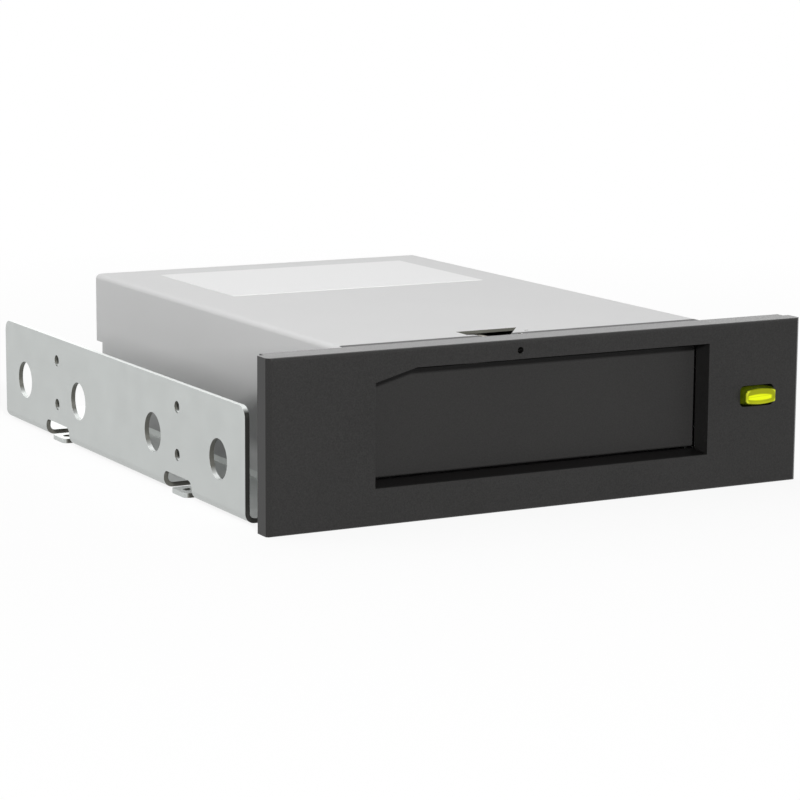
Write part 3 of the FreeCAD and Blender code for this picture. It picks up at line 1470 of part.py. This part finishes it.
def bezel_screws():
    """Screws from under the tray into the bezel's lugs."""
    screws = [big_screw("z", 1, x, bezel_screw_y, tray_bottom, as_size(4.5)) for x in (-bezel_lug_x, bezel_lug_x)]
    return sub_part("bezel_screws", group(*screws))


def side_screws():
    """Screws that hold the cover to the tray, behind the brackets' access holes."""
    screws = []
    for y in side_screw_rows_y:
        screws.append(big_screw("x", 1, -body_half, y, access_height, as_size(3.2)))
        screws.append(big_screw("x", -1, body_half, y, access_height, as_size(3.2)))
    return sub_part("side_screws", group(*screws))


def board_screws():
    screws = []
    for x in (-board_screw_x, board_screw_x):
        for y in board_screw_rows_y:
            screws.append(small_screw("z", -1, x, y, board_top, as_size(3.4)))
    return sub_part("board_screws", group(*screws))


def deck_screws():
    screws = []
    for x in (-column_x, column_x):
        for y in column_rows_y + [pillar_y]:
            screws.append(small_screw("z", -1, x, y, deck_top, deck_screw_length))
    return sub_part("deck_screws", group(*screws))


def panel_screws():
    """Screws that hold the button board on the bezel's bosses."""
    back = panel_board_y + board_thick
    screws = [small_screw("y", -1, x, back, z, as_size(6.0)) for x, z in panel_boss_spots()]
    return sub_part("panel_screws", group(*screws))


def build_all():
    front_bezel()
    cartridge_door()
    hinge_rod()
    door_spring()
    eject_button()
    button_spring()
    button_board()
    push_switch()
    status_lights()
    button_cable()
    cable_sockets()
    top_cover()
    rating_label()
    bottom_tray()
    mirrored("bracket_right", mounting_bracket())
    bay_floor()
    bay_guide("bay_guide_left", -1, True)
    bay_guide("bay_guide_right", 1, False)
    mechanism_deck()
    deck_pillars()
    slide_studs()
    ejector_slide()
    eject_gear()
    gear_post()
    eject_motor()
    motor_pinion()
    release_slide()
    release_guide()
    cartridge_latch()
    latch_post()
    latch_spring()
    main_board()
    board_posts()
    board_chips()
    board_capacitors()
    riser_board()
    cartridge_connector()
    host_connector()
    host_contacts()
    bracket_screws()
    frame_screws()
    bezel_screws()
    side_screws()
    board_screws()
    deck_screws()
    panel_screws()


def check_all():
    """Stop if anything in the document failed or a piece isn't a whole solid."""
    for thing in doc.Objects:
        if "Invalid" in thing.State or "Error" in thing.State:
            raise RuntimeError("{} didn't recompute: {}".format(thing.Name, thing.State))
    for node, thing in sub_parts.items():
        shape = thing.Shape
        if shape.isNull() or not shape.isValid() or not shape.Solids:
            raise RuntimeError("{} isn't a valid solid".format(node))


def write_all():
    os.makedirs("parts", exist_ok=True)
    for node, thing in sub_parts.items():
        thing.Shape.exportStep("parts/{}.step".format(node))


build_all()
doc.recompute()
check_all()
write_all()
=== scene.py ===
"""Internal removable disk drive: finishes, eased edges, studio and camera around its CAD solids."""

import json
import math

import bpy
from mathutils import Matrix, Vector


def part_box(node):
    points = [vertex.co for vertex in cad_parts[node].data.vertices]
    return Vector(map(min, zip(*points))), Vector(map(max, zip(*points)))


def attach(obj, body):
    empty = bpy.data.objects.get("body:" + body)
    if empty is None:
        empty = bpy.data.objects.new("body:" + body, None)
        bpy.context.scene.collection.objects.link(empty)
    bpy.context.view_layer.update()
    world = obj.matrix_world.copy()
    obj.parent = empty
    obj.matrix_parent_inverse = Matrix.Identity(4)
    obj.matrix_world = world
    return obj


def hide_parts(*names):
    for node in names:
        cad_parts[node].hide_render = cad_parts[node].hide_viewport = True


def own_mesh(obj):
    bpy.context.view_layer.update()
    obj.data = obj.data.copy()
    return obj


MM = 0.001
SHARP_EDGE = math.radians(35.0)

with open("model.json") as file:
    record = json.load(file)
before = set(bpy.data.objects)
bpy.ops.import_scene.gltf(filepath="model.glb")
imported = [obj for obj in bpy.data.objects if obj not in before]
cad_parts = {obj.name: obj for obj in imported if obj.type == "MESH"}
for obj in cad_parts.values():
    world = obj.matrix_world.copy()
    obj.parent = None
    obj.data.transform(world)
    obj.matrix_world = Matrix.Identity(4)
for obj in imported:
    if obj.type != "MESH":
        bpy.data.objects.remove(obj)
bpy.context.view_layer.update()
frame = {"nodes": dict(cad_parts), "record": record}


# Shader maths

class Value:
    """A node's output that takes part in sums; each step adds one Math node."""

    def __init__(self, nodes, socket):
        self.nodes = nodes
        self.socket = socket

    def _step(self, operation, *terms):
        return self.nodes.node("ShaderNodeMath", {"operation": operation}, terms)

    def __add__(self, other):
        return self._step("ADD", self, other)

    def __radd__(self, other):
        return self._step("ADD", other, self)

    def __sub__(self, other):
        return self._step("SUBTRACT", self, other)

    def __rsub__(self, other):
        return self._step("SUBTRACT", other, self)

    def __mul__(self, other):
        return self._step("MULTIPLY", self, other)

    def __rmul__(self, other):
        return self._step("MULTIPLY", other, self)

    def __truediv__(self, other):
        return self._step("DIVIDE", self, other)

    def __pow__(self, other):
        return self._step("POWER", self, other)

    def __abs__(self):
        return self._step("ABSOLUTE", self)

    def above(self, other):
        return self._step("GREATER_THAN", self, other)

    def least(self, other):
        return self._step("MINIMUM", self, other)

    def most(self, other):
        return self._step("MAXIMUM", self, other)

    def held(self):
        """Kept between 0 and 1."""
        return self.most(0.0).least(1.0)

    def between(self, low, high):
        """0 at low and 1 at high, straight between."""
        return ((self - low) / (high - low)).held()


class Nodes:
    """A node tree while it is laid out."""

    def __init__(self, tree):
        self.tree = tree
        self.tree.nodes.clear()

    def node(self, kind, settings=None, inputs=(), output=0):
        """Add a node: its settings first, then its sockets, by order or by name."""
        made = self.tree.nodes.new(kind)
        for key, value in (settings or {}).items():
            setattr(made, key, value)
        pairs = inputs.items() if isinstance(inputs, dict) else enumerate(inputs)
        for key, value in pairs:
            if isinstance(value, Value):
                self.tree.links.new(value.socket, made.inputs[key])
            else:
                made.inputs[key].default_value = value
        return Value(self, made.outputs[output]) if len(made.outputs) else None

    def ray(self, kind):
        """1 on light rays of one kind, and 0 on the rest."""
        return self.node("ShaderNodeLightPath", output="Is " + kind + " Ray")


class Finish(Nodes):
    """One material while its nodes are laid out."""

    # Where a Mix node set to colours keeps its share, its two colours and its result.
    MIX_SHARE, MIX_FIRST, MIX_SECOND, MIX_RESULT = 0, 6, 7, 2

    def __init__(self, name):
        self.material = bpy.data.materials.new(name)
        self.material.use_nodes = True
        self.place = None
        super().__init__(self.material.node_tree)

    def spot(self):
        """The point on the piece, in metres."""
        if self.place is None:
            self.place = self.node("ShaderNodeTexCoord", output="Object")
        return self.place

    def part_of(self, vector, axis):
        return self.node("ShaderNodeSeparateXYZ", inputs=(vector,), output="xyz".index(axis))

    def along(self, axis):
        """The point's distance along an axis, in metres."""
        return self.part_of(self.spot(), axis)

    def facing(self, axis):
        """How far the surface looks along an axis, from -1 to 1."""
        return self.part_of(self.node("ShaderNodeNewGeometry", output="Normal"), axis)

    def stretched(self, x, y, z):
        """The point with each axis scaled, for grain that runs one way."""
        return self.node("ShaderNodeMapping", inputs={"Vector": self.spot(), "Scale": (x, y, z)})

    def noise(self, size, detail=2.0, roughness=0.5, where=None):
        """Soft noise whose features are about the given size in metres."""
        inputs = {
            "Vector": where or self.spot(),
            "Scale": 1.0 / size,
            "Detail": detail,
            "Roughness": roughness,
        }
        return self.node("ShaderNodeTexNoise", inputs=inputs, output="Fac")

    def cells(self, size):
        """Distance from the middle of the nearest cell, for specks and pads."""
        inputs = {"Vector": self.spot(), "Scale": 1.0 / size}
        return self.node("ShaderNodeTexVoronoi", inputs=inputs, output="Distance")

    def mix(self, share, first, second):
        """A colour between two others."""
        inputs = {self.MIX_SHARE: share, self.MIX_FIRST: first, self.MIX_SECOND: second}
        return self.node("ShaderNodeMix", {"data_type": "RGBA"}, inputs, self.MIX_RESULT)

    def bump(self, height, depth):
        return self.node("ShaderNodeBump", inputs={"Height": height, "Distance": depth, "Strength": 1.0})

    def done(self, **sockets):
        """Put the surface together and give the material back."""
        inputs = {key.replace("_", " "): value for key, value in sockets.items()}
        return self.close(self.node("ShaderNodeBsdfPrincipled", inputs=inputs))

    def close(self, surface):
        self.node("ShaderNodeOutputMaterial", inputs={"Surface": surface})
        return self.material


def grey(level):
    return (level, level, level, 1.0)


def color(red, green, blue):
    return (red, green, blue, 1.0)


# Finishes

BEZEL_LOW = color(0.0095, 0.0092, 0.0090)
BEZEL_HIGH = color(0.0210, 0.0204, 0.0200)
# Near-black painted shade for the upward walls inside the bezel's window.
WINDOW_RECESS_PAINTED_SHADE = color(0.0025, 0.0022, 0.0022)
DOOR_LOW = color(0.0205, 0.0200, 0.0198)
DOOR_HIGH = color(0.0280, 0.0275, 0.0270)

BRACKET_LOW = color(0.46, 0.480, 0.470)
BRACKET_HIGH = color(0.51, 0.530, 0.520)
# Paler tone for the bottom web, painted light where it faces up.
FLANGE_PAINTED_LIGHT = color(0.55, 0.57, 0.56)
# Cut edges: an unplated tone deepened by painted shade, and near black as painted shade at the front end.
CUT_EDGE_UNPLATED_AND_SHADED = color(0.13, 0.13, 0.115)
FRONT_END_PAINTED_SHADE = color(0.03, 0.03, 0.027)

# Painted shade low on the cover's sides, painted shadow along its joint with the bezel, and painted shade
# on the notch's deep wall; the notch rim is dark grey.
COVER_SIDE_PAINTED_SHADE = grey(0.15)
COVER_SEAM_PAINTED_SHADOW = grey(0.03)
NOTCH_WALL_PAINTED_SHADE = color(0.012, 0.012, 0.010)
NOTCH_RIM = color(0.10, 0.10, 0.085)


def moulded_plastic(name, low, high, roughness, grain=0.35 * MM, depth=0.02 * MM, gloss=0.5, recess_painted_shade=None):
    """Spark-eroded plastic: fine even grain, faint cloudiness and a little gloss on the peaks."""
    finish = Finish(name)
    fine = finish.noise(grain, 3.0, 0.6)
    cloud = finish.noise(30 * MM, 2.0)
    shade = finish.mix(((fine - 0.5) * 2.2 + cloud * 0.6 + 0.2).held(), low, high)
    if recess_painted_shade:
        # Painted shade: where the mask is set, the plastic is coloured near black, as a recess in shade.
        shade = finish.mix(recess_painted_shade(finish), shade, WINDOW_RECESS_PAINTED_SHADE)
    return finish.done(
        Base_Color=shade,
        Roughness=roughness + (fine - 0.5) * 0.2,
        Specular_IOR_Level=gloss,
        Normal=finish.bump(fine, depth),
    )


def window_recess_painted_shade(finish):
    """Mask for painted shade on the walls inside the bezel's window that look up, behind its grained face:
    they are coloured near black, as shade falls there.
    """
    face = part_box("front_bezel")[0].y
    door_low, door_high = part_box("cartridge_door")
    margin = 2.6 * MM
    past_margin = 3.0 * MM
    behind_face = (finish.along("y") - face).between(0.4 * MM, 0.7 * MM)
    across = 1 - abs(finish.along("x")).between(door_high.x + margin, door_high.x + past_margin)
    above = finish.along("z").between(door_low.z - past_margin, door_low.z - margin)
    looking_up = finish.facing("z").between(0.1, 0.3)
    return behind_face * across * above * looking_up


def bracket_cuts(finish):
    """Mask of the brackets' cut edges, in their holes and at their ends, where an unplated tone is darkened
    further as painted shade.
    """
    along_sheet = 1 - abs(finish.facing("x")).between(0.35, 0.6)
    return along_sheet * (1 - finish.facing("z").between(0.5, 0.8))


def bracket_tones(finish, shade, sheet_cut_mask):
    """Plated sheet, an unplated tone on its cut edges deepened by painted shade, painted shade making the
    front end darkest, and a painted lighter tone on the upward-facing bottom web.
    """
    # Painted shade: the cut face at the front end is coloured near black.
    front_end_painted_shade = 1 - finish.along("y").between(-77.5 * MM, -77 * MM)
    cut_edge_tone_and_shade = finish.mix(front_end_painted_shade, CUT_EDGE_UNPLATED_AND_SHADED, FRONT_END_PAINTED_SHADE)
    # Painted light: the upward-facing bottom web is coloured paler, as light falls on it from above.
    flange_painted_light = finish.facing("z").above(0.9) * (1 - finish.along("z").above(5 * MM))
    return finish.mix(flange_painted_light, finish.mix(sheet_cut_mask, shade, cut_edge_tone_and_shade), FLANGE_PAINTED_LIGHT)


def plated_steel(name, low, high, roughness, bracket=False):
    """Rolled and zinc-plated sheet: rolling marks that run front to back, patches and specks."""
    finish = Finish(name)
    marks = finish.noise(0.5 * MM, 3.0, 0.6, finish.stretched(1.0, 0.04, 1.0))
    patches = finish.noise(9 * MM, 3.0, 0.6)
    specks = finish.cells(1.2 * MM)
    shade = finish.mix((patches * 0.7 + marks * 0.3).held(), low, high)
    metallic = 1.0
    # Brackets: cut edges darkened and made less metallic as painted shade, painted shade at the front end,
    # painted light on the bottom web.
    if bracket:
        sheet_cut_mask = bracket_cuts(finish)
        shade = bracket_tones(finish, shade, sheet_cut_mask)
        metallic = 1.0 - sheet_cut_mask * 0.5
    return finish.done(
        Base_Color=shade,
        Metallic=metallic,
        Roughness=(roughness + (patches - 0.5) * 0.12 + (marks - 0.5) * 0.1).held(),
        Normal=finish.bump(marks * 0.7 + specks * 0.3, 0.012 * MM),
    )


def cover_side_painted_shade(height, behind):
    """Painted shade on the lower part of the cover's sides, where the bracket shades them: it reaches
    highest at the front, and is palest at its front foot.
    """
    slanted = height + behind * 0.15
    foot = 1 - height.between(8 * MM, 12 * MM)
    foot_change = behind.between(50 * MM, 110 * MM) * 0.6 - 0.45
    return (1 - slanted.between(15 * MM, 42 * MM)) * (0.9 + foot * foot_change)


def painted_sheet(name, low, high, roughness):
    """The cover: steel sheet with a thin matt coat, painted shade low on its sides and on the notch's deep
    wall, a dark grey cut rim, and a painted shadow along the joint under the bezel.
    """
    finish = Finish(name)
    cover_low, cover_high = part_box("top_cover")
    height = finish.along("z")
    behind = finish.along("y") - cover_low.y
    fine = finish.noise(0.6 * MM, 4.0, 0.6)
    patches = finish.noise(25 * MM, 3.0)
    shade = finish.mix((patches * 0.6 + fine * 0.4).held(), low, high)
    # Painted shade low on the sides, where the bracket shades them.
    shade = finish.mix(cover_side_painted_shade(height, behind), shade, COVER_SIDE_PAINTED_SHADE)
    # Faces looking forward: the sheet's cut rim is dark grey, and the deeper wall below it is coloured near
    # black as painted shade in the notch.
    facing_forward = (0 - finish.facing("y")).between(0.5, 0.7)
    sheet_rim = (height - cover_high.z).between(-0.85 * MM, -0.70 * MM)
    shade = finish.mix(facing_forward, shade, finish.mix(sheet_rim, NOTCH_WALL_PAINTED_SHADE, NOTCH_RIM))
    # Painted shadow: a dark strip across the cover's top just behind its front edge, where the joint under
    # the bezel lies in shade.
    joint_painted_shadow = (1 - behind.between(2.9 * MM, 3.3 * MM)) * finish.facing("z").above(0.9)
    shade = finish.mix(joint_painted_shadow * 0.95, shade, COVER_SEAM_PAINTED_SHADOW)
    return finish.done(
        Base_Color=shade,
        Specular_IOR_Level=0.25,
        Roughness=roughness + (fine - 0.5) * 0.12,
        Normal=finish.bump(fine, 0.01 * MM),
    )


def lit_key(name):
    """Clear yellow-green cap lit from behind: bright bar in its face, paler rim, deep green sides."""
    finish = Finish(name)
    box_low, box_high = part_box("eject_button")
    middle = (box_low + box_high) / 2
    across = finish.along("x") - middle.x
    up = finish.along("z") - middle.z
    depth = finish.along("y") - box_low.y

    face_half_width = 4.55 * MM
    face_half_height = 2.35 * MM
    round_out = (across / face_half_width) ** 4.0 + (up / face_half_height) ** 2.0
    front = (1 - depth.between(0.4 * MM, 0.6 * MM)) * (1 - round_out.between(1.0, 1.15))
    rim = round_out.between(0.66, 0.80)
    below = 1 - up.between(-1.6 * MM, -0.6 * MM)

    bar_half_width = 3.6 * MM
    bar_half_height = 0.80 * MM
    bar_across = across + 0.45 * MM
    bow = (bar_across / bar_half_width) ** 2.0
    bowed_height = (1 - bow * 0.45) * bar_half_height
    bar = 1 - (abs(up + 0.1 * MM) / bowed_height).between(0.75, 1.15)
    bar = bar * (1 - abs(bar_across).between(3.2 * MM, 3.8 * MM))
    crease = 1 - abs(up - across * 0.05 - 0.15 * MM).between(0.03 * MM, 0.16 * MM)

    cloud = finish.noise(1.2 * MM, 2.0)
    side = finish.mix(cloud, color(0.016, 0.026, 0.0), color(0.075, 0.095, 0.001))
    face = finish.mix(below, color(0.22, 0.24, 0.001), color(0.32, 0.35, 0.001))
    face = finish.mix(rim * 0.6, face, color(0.55, 0.60, 0.03))
    glow = finish.mix(crease * 0.5, color(0.60, 0.68, 0.003), color(0.36, 0.42, 0.002))
    shade = finish.mix(front, side, finish.mix(bar, face, glow))
    return finish.done(
        Base_Color=shade,
        Roughness=0.22,
        Specular_IOR_Level=0.2,
        Emission_Color=shade,
        Emission_Strength=0.22,
    )


def circuit_board(name):
    """Green solder mask over copper tracks, with small pads."""
    finish = Finish(name)
    bricks = {
        "Vector": finish.spot(),
        "Color1": grey(0.0),
        "Color2": grey(1.0),
        "Mortar": grey(0.5),
        "Scale": 260.0,
        "Mortar Size": 0.02,
    }
    tracks = finish.node("ShaderNodeTexBrick", {"offset": 0.5}, bricks, "Fac")
    pads = 1 - finish.cells(2.2 * MM).between(0.12, 0.2)
    mask = finish.mix(tracks * 0.6, color(0.012, 0.09, 0.035), color(0.03, 0.17, 0.06))
    return finish.done(
        Base_Color=finish.mix(pads * 0.5, mask, color(0.62, 0.55, 0.35)),
        Roughness=0.35,
        Coat_Weight=0.25,
        Normal=finish.bump(tracks + pads, 0.02 * MM),
    )


def paper(name):
    """Matt label stock with faint fibres."""
    finish = Finish(name)
    fibres = finish.noise(0.4 * MM, 4.0, 0.7, finish.stretched(1.0, 0.35, 1.0))
    return finish.done(
        Base_Color=finish.mix(fibres, grey(0.79), grey(0.83)),
        Roughness=0.6,
        Normal=finish.bump(fibres, 0.01 * MM),
    )


def turned_metal(name, shade, roughness):
    """Small turned or drawn metal with a fine grain."""
    finish = Finish(name)
    grain = finish.noise(0.12 * MM, 2.0, 0.5)
    brighter = color(shade[0] * 1.2, shade[1] * 1.2, shade[2] * 1.2)
    return finish.done(
        Base_Color=finish.mix(grain, shade, brighter),
        Metallic=1.0,
        Roughness=roughness + (grain - 0.5) * 0.15,
        Normal=finish.bump(grain, 0.006 * MM),
    )


def clear_plastic(name):
    """Pale lens plastic, slightly cloudy and glossy."""
    finish = Finish(name)
    cloud = finish.noise(0.5 * MM, 2.0)
    return finish.done(
        Base_Color=finish.mix(cloud, color(0.80, 0.82, 0.55), color(0.92, 0.93, 0.75)),
        Roughness=0.2,
        Coat_Weight=0.5,
    )


finishes = {
    "bezel_plastic": moulded_plastic(
        "bezel_grain", BEZEL_LOW, BEZEL_HIGH, 0.36, 0.3 * MM, 0.008 * MM, 0.27, window_recess_painted_shade,
    ),
    "door_plastic": moulded_plastic("door_grain", DOOR_LOW, DOOR_HIGH, 0.45, 0.3 * MM, 0.006 * MM, 0.12),
    "cover_steel": painted_sheet("cover_coat", grey(0.65), grey(0.69), 0.62),
    "bracket_steel": plated_steel("bracket_plating", BRACKET_LOW, BRACKET_HIGH, 0.38, bracket=True),
    "tray_steel": plated_steel("tray_plating", color(0.50, 0.51, 0.50), color(0.60, 0.61, 0.60), 0.42),
    "key_lens": lit_key("lit_key_cap"),
    "bay_plastic": moulded_plastic("bay_moulding", grey(0.018), grey(0.030), 0.45),
    "label_paper": paper("label_stock"),
    "board_laminate": circuit_board("board_mask"),
    "connector_plastic": moulded_plastic("connector_moulding", grey(0.014), grey(0.022), 0.4, 0.2 * MM),
    "contact_metal": turned_metal("contact_plating", color(0.75, 0.55, 0.22), 0.25),
    "screw_steel": turned_metal("screw_plating", grey(0.55), 0.35),
    "mechanism_steel": plated_steel("deck_plating", grey(0.50), grey(0.60), 0.35),
    "pinion_brass": turned_metal("pinion_turning", color(0.70, 0.50, 0.20), 0.3),
    "gear_plastic": moulded_plastic("gear_moulding", color(0.72, 0.70, 0.62), color(0.80, 0.78, 0.70), 0.4),
    "motor_steel": turned_metal("motor_can", grey(0.50), 0.3),
    "chip_plastic": moulded_plastic("chip_moulding", grey(0.012), grey(0.020), 0.5, 0.2 * MM),
    "capacitor_metal": turned_metal("capacitor_can", grey(0.62), 0.3),
    "light_plastic": clear_plastic("light_lens"),
    "spring_steel": turned_metal("spring_wire", grey(0.40), 0.35),
    "cable_plastic": moulded_plastic("cable_jacket", grey(0.60), grey(0.70), 0.45),
}

node_slots = {part["node"]: part["material_slot"] for part in frame["record"]["subparts"]}
for node, solid in frame["nodes"].items():
    solid.data.materials.clear()
    solid.data.materials.append(finishes[node_slots[node]])


# Pieces

MERGE_DISTANCE = 0.001 * MM
FLAT_ANGLE = math.radians(0.5)

body_of = {
    node: body
    for body, nodes in frame["record"]["behaviour"]["bodies"].items()
    for node in nodes
}


def only(piece):
    """Select one piece and nothing else."""
    bpy.ops.object.select_all(action="DESELECT")
    piece.select_set(True)
    bpy.context.view_layer.objects.active = piece


def copied(node):
    """A whole, merged copy of a CAD node that stands for it and rides on its body."""
    solid = frame["nodes"][node]
    piece = solid.copy()
    piece.data = solid.data.copy()
    bpy.context.scene.collection.objects.link(piece)
    piece.parent = None
    for key in list(piece.keys()):
        if key.startswith("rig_"):
            del piece[key]
    only(piece)
    bpy.ops.mesh.customdata_custom_splitnormals_clear()
    bpy.ops.object.mode_set(mode="EDIT")
    bpy.ops.mesh.select_all(action="SELECT")
    bpy.ops.mesh.remove_doubles(threshold=MERGE_DISTANCE)
    bpy.ops.mesh.dissolve_limited(angle_limit=FLAT_ANGLE)
    bpy.ops.object.mode_set(mode="OBJECT")
    bpy.ops.object.shade_smooth_by_angle(angle=SHARP_EDGE)
    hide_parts(node)
    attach(piece, body_of[node])
    return piece


def softened(node, width, segments=2):
    """A copy of a CAD node with its edges eased, as pressing or moulding leaves them."""
    piece = copied(node)
    piece.name = node + "_eased"
    bevel = piece.modifiers.new("eased_edges", "BEVEL")
    bevel.width = width
    bevel.segments = segments
    bevel.limit_method = "ANGLE"
    bevel.angle_limit = SHARP_EDGE
    bevel.use_clamp_overlap = True
    bevel.harden_normals = True
    bpy.ops.object.modifier_apply(modifier=bevel.name)


def pressed_spring(node, joint):
    """A merged copy of a coil spring that rides on its body with a mesh of its own; the joint's travel is
    read, but nothing shortens the coil.
    """
    piece = copied(node)
    piece.name = node + "_coil"
    low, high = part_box(node)
    travel = next(j["range_m"][1] for j in frame["record"]["behaviour"]["joints"] if j["name"] == joint)
    1 - travel / (high.y - low.y)
    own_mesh(piece)


softened("front_bezel", 0.18 * MM)
softened("cartridge_door", 0.15 * MM)
softened("top_cover", 0.12 * MM)
softened("bracket_left", 0.15 * MM)
softened("bracket_right", 0.15 * MM)
softened("eject_button", 0.35 * MM, 3)
pressed_spring("button_spring", "button_press")


# Floor, light and camera

FLOOR_HALF_WIDTH = 4.0
FLOOR_HEIGHT = -0.02 * MM
FLOOR_TONE = 0.45
FLOOR_SHADOW = 0.12
SHADOW_REACH = (0.12, 0.45)
REFLECTED_FLOOR = 0.8
WORLD_LEVEL = 0.05


def lie_flat(name, half_width, z):
    bpy.ops.mesh.primitive_plane_add(size=half_width * 2, location=(0, 0, z))
    floor = bpy.context.active_object
    floor.name = name
    return floor


def floor_finish():
    """White studio floor: the camera sees it white, with the object's shadow near the object."""
    finish = Finish("studio_floor")
    camera_ray = finish.ray("Camera")
    reach = finish.node("ShaderNodeVectorMath", {"operation": "LENGTH"}, (finish.spot(),), "Value")
    shadow_share = (1 - reach.between(*SHADOW_REACH)) * FLOOR_SHADOW
    tone = finish.mix(camera_ray, grey(FLOOR_TONE), grey(0.95))
    plain = finish.node("ShaderNodeBsdfDiffuse", inputs={"Color": tone})
    white = finish.node("ShaderNodeEmission", inputs={"Color": grey(1.0), "Strength": 1.0})
    share = (camera_ray * (1 - shadow_share) + finish.ray("Glossy") * REFLECTED_FLOOR).held()
    finish.material.cycles.emission_sampling = "NONE"
    return finish.close(finish.node("ShaderNodeMixShader", inputs=(share, plain, white)))


def world_light(level):
    """Even light of the given level, seen as white by the camera and in reflections."""
    world = bpy.data.worlds.new("studio")
    world.use_nodes = True
    world.cycles.sampling_method = "NONE"
    bpy.context.scene.world = world
    nodes = Nodes(world.node_tree)
    dim = nodes.node("ShaderNodeBackground", inputs={"Color": grey(1.0), "Strength": level})
    white = nodes.node("ShaderNodeBackground", inputs={"Color": grey(1.0), "Strength": 1.0})
    share = nodes.ray("Camera").most(nodes.ray("Glossy"))
    mixed = nodes.node("ShaderNodeMixShader", inputs=(share, dim, white))
    nodes.node("ShaderNodeOutputWorld", inputs={"Surface": mixed})


def softbox(name, place, target, width, height, power):
    """A rectangular lamp that looks at a target; its power is in watts."""
    light = bpy.data.lights.new(name, "AREA")
    light.shape = "RECTANGLE"
    light.size = width
    light.size_y = height
    light.energy = power
    lamp = bpy.data.objects.new(name, light)
    bpy.context.scene.collection.objects.link(lamp)
    lamp.location = place
    lamp.rotation_euler = (Vector(target) - Vector(place)).to_track_quat("-Z", "Y").to_euler()


floor = lie_flat("studio_floor", FLOOR_HALF_WIDTH, FLOOR_HEIGHT)
floor.data.materials.append(floor_finish())

world_light(WORLD_LEVEL)
softbox("overhead", (-0.15, 0.55, 1.1), (0, 0, 0), width=1.5, height=1.5, power=8.6)
softbox("left_back", (-1.2, 0.75, 0.26), (0, 0, 0.02), width=0.8, height=0.35, power=4.6)
softbox("front_key", (-0.42, -1.36, 0.56), (0, -0.08, 0.02), width=0.12, height=0.12, power=24.0)
softbox("rear_card", (0.75, 1.30, 0.42), (0, -0.08, 0.04), width=1.6, height=0.5, power=2.7)

# The camera was solved from the photograph, in its 800 by 800 frame.
CAMERA_PLACE = Vector((-340.138, -645.75, 139.314)) * MM
CAMERA_FORWARD = Vector((0.469664, 0.865893, -0.172176)).normalized()
CAMERA_UP = Vector((0.0768, 0.1542, 0.9850))
FOCAL_PIXELS = 2761.64
PICTURE_PIXELS = 800.0
SENSOR_WIDTH = 36.0
NEAREST_SEEN = 0.01

camera_data = bpy.data.cameras.new("camera")
camera = bpy.data.objects.new("camera", camera_data)
bpy.context.scene.collection.objects.link(camera)
camera_data.sensor_width = SENSOR_WIDTH
camera_data.lens = FOCAL_PIXELS / PICTURE_PIXELS * SENSOR_WIDTH
camera_data.clip_start = NEAREST_SEEN
camera_right = CAMERA_FORWARD.cross(CAMERA_UP).normalized()
camera_up = camera_right.cross(CAMERA_FORWARD).normalized()
camera.matrix_world = Matrix.Translation(CAMERA_PLACE) @ Matrix(
    (camera_right, camera_up, -CAMERA_FORWARD)
).transposed().to_4x4()
bpy.context.scene.camera = camera
bpy.context.scene.view_settings.view_transform = "Standard"
